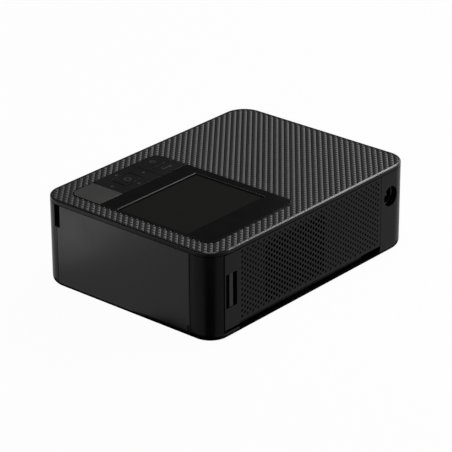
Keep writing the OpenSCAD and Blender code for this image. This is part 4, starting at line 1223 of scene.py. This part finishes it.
class PRINTER_OT_stage(bpy.types.Operator):
    """Make the floor, the lamps, the world and the camera"""

    bl_idname = "printer.stage"
    bl_label = "Stage"

    def execute(self, context):
        scene = context.scene
        scene.view_settings.view_transform = "Standard"
        self.camera(scene)
        self.floor()
        # Sheets seen only in reflections paint light and shade: two near-black ones darken the near
        # corner and the printer's foot with painted shade for the shadowed floor, and a glowing one
        # paints a bright reflection on the front of the door
        corner = [(86, 60), (233, 91), (221, 126), (201, 156), (174, 181), (142, 199)]
        self.card("stage_painted_shade_corner", corner, 0.002)
        foot = [(-93, -68.5), (93, -68.5), (93, 0), (103, 24), (97, 68.5), (-93, 68.5)]
        self.card("stage_painted_shadow_foot", foot, 0.002)
        front = [(120, -70), (140, -230), (184, -222), (224, -200), (253, -165), (270, -95)]
        self.card("stage_painted_glow_front", front, 2.6)
        self.light(scene)
        return {"FINISHED"}

    def camera(self, scene):
        """Camera at the photograph's viewpoint, as fitted to its edges. Lengths are in mm."""
        azimuth, elevation, roll = (math.radians(v) for v in (130.635, 24.699, -0.253))
        aim, distance, shift_x, shift_y = Vector((0, 0, 28.8)), 1467.594, 1.322, 3.568
        back = Vector(
            (
                math.sin(azimuth) * math.cos(elevation),
                -math.cos(azimuth) * math.cos(elevation),
                math.sin(elevation),
            )
        )
        right = (-back).cross(Vector((0, 0, 1))).normalized()
        up = right.cross(-back)
        place = aim + back * distance - right * shift_x - up * shift_y
        rolled = right * math.cos(roll) + up * math.sin(roll)
        upright = up * math.cos(roll) - right * math.sin(roll)
        data = bpy.data.cameras.new("photo_camera")
        data.sensor_width = 36
        data.lens = 195.62
        data.clip_start, data.clip_end = 0.05, 50
        camera = new_object("photo_camera", data)
        camera.matrix_world = (
            Matrix.Translation(place * MM)
            @ Matrix((rolled, upright, back)).transposed().to_4x4()
        )
        scene.camera = camera

    def floor(self):
        """Pale floor that the camera sees as plain white, with the printer's shadow kept."""
        reach = 8
        # Share of plain white that the camera and the reflections see
        whiteness = 0.97
        mesh = mesh_from(
            "stage_floor",
            [(-reach, -reach, 0), (reach, -reach, 0), (reach, reach, 0), (-reach, reach, 0)],
            [(0, 1, 2, 3)],
        )
        floor = new_object("stage_floor", mesh)
        material = bpy.data.materials.new("Paper_sweep_white")
        tree = empty_tree(material)
        matt = add(tree, "ShaderNodeBsdfDiffuse", {"Color": tuple(colours().floor)})
        lit = add(tree, "ShaderNodeEmission", {"Color": WHITE, "Strength": 1})
        path = add(tree, "ShaderNodeLightPath")
        seen = maths(tree, "MAXIMUM", path.outputs["Is Camera Ray"], path.outputs["Is Glossy Ray"])
        seen = maths(tree, "MAXIMUM", seen, path.outputs["Is Transmission Ray"])
        share = times(tree, seen, whiteness)
        mix = add(
            tree,
            "ShaderNodeMixShader",
            {0: share, 1: matt.outputs[0], 2: lit.outputs[0]},
        )
        add(tree, "ShaderNodeOutputMaterial", {"Surface": mix.outputs[0]})
        mesh.materials.append(material)

    def card(self, name, edge, strength):
        """Glowing sheet on the floor, seen in reflections alone, that paints a dark or bright
        reflection by its strength. Its outline is in mm.
        """
        points = [(x * MM, y * MM, 0.2 * MM) for x, y in edge]
        mesh = mesh_from(name, points, [tuple(range(len(points)))])
        card = new_object(name, mesh)
        material = bpy.data.materials.new(name + "_painted_reflection")
        tree = empty_tree(material)
        # Emission that paints the reflection: near black for painted shade, bright for a painted
        # glow
        painted_reflection = add(tree, "ShaderNodeEmission", {"Color": WHITE, "Strength": strength})
        add(tree, "ShaderNodeOutputMaterial", {"Surface": painted_reflection.outputs[0]})
        mesh.materials.append(material)
        card.visible_camera = False
        card.visible_diffuse = False
        card.visible_shadow = False

    def light(self, scene):
        """Soft lamps round the printer and a plain pale world."""
        # Azimuth, elevation, distance, width, height and radiance
        softbox("lamp_overhead", 45, 80, 1.5, 0.8, 0.8, 4.5)
        softbox("lamp_right", 188, 20, 1.1, 1.0, 0.5, 0.95)
        softbox("lamp_back_high", -146, 57, 1.3, 0.9, 0.8, 0.3)
        softbox("lamp_right_high", 168, 40, 1.2, 1.0, 0.2, 9.0)
        softbox("lamp_right_near", 130, 14, 0.4, 0.16, 0.1, 8.0)
        world = bpy.data.worlds.new("stage_world")
        scene.world = world
        tree = empty_tree(world)
        sky = add(tree, "ShaderNodeBackground", {"Color": linear("#464646"), "Strength": 1})
        add(tree, "ShaderNodeOutputWorld", {"Surface": sky.outputs[0]})


# ---- Panel and registration ----------------------------------------------------------

OPERATORS = (
    PRINTER_OT_stage,
    PRINTER_OT_finishes,
    PRINTER_OT_top_cover,
    PRINTER_OT_vent_panel,
    PRINTER_OT_control_panel,
    PRINTER_OT_keys,
    PRINTER_OT_inlet_ring,
    PRINTER_OT_ink_door,
    PRINTER_OT_front_cover,
)


class PRINTER_PT_panel(bpy.types.Panel):
    """Lists the printer's pieces, sizes and colours"""

    bl_idname = "PRINTER_PT_panel"
    bl_label = "Photo Printer"
    bl_space_type = "VIEW_3D"
    bl_region_type = "UI"
    bl_category = "Photo Printer"

    def draw(self, context):
        for operator in OPERATORS:
            self.layout.operator(operator.bl_idname)
        for group in (context.scene.printer_sizes, context.scene.printer_colours):
            for name in group.__annotations__:
                self.layout.prop(group, name)


CLASSES = (PrinterSizes, PrinterColours, *OPERATORS, PRINTER_PT_panel)


def register():
    for cls in CLASSES:
        bpy.utils.register_class(cls)
    bpy.types.Scene.printer_sizes = PointerProperty(type=PrinterSizes)
    bpy.types.Scene.printer_colours = PointerProperty(type=PrinterColours)


def unregister():
    del bpy.types.Scene.printer_colours
    del bpy.types.Scene.printer_sizes
    for cls in reversed(CLASSES):
        bpy.utils.unregister_class(cls)


def main():
    register()
    for operator in OPERATORS:
        group, name = operator.bl_idname.split(".")
        getattr(getattr(bpy.ops, group), name)()


if __name__ == "__main__":
    main()
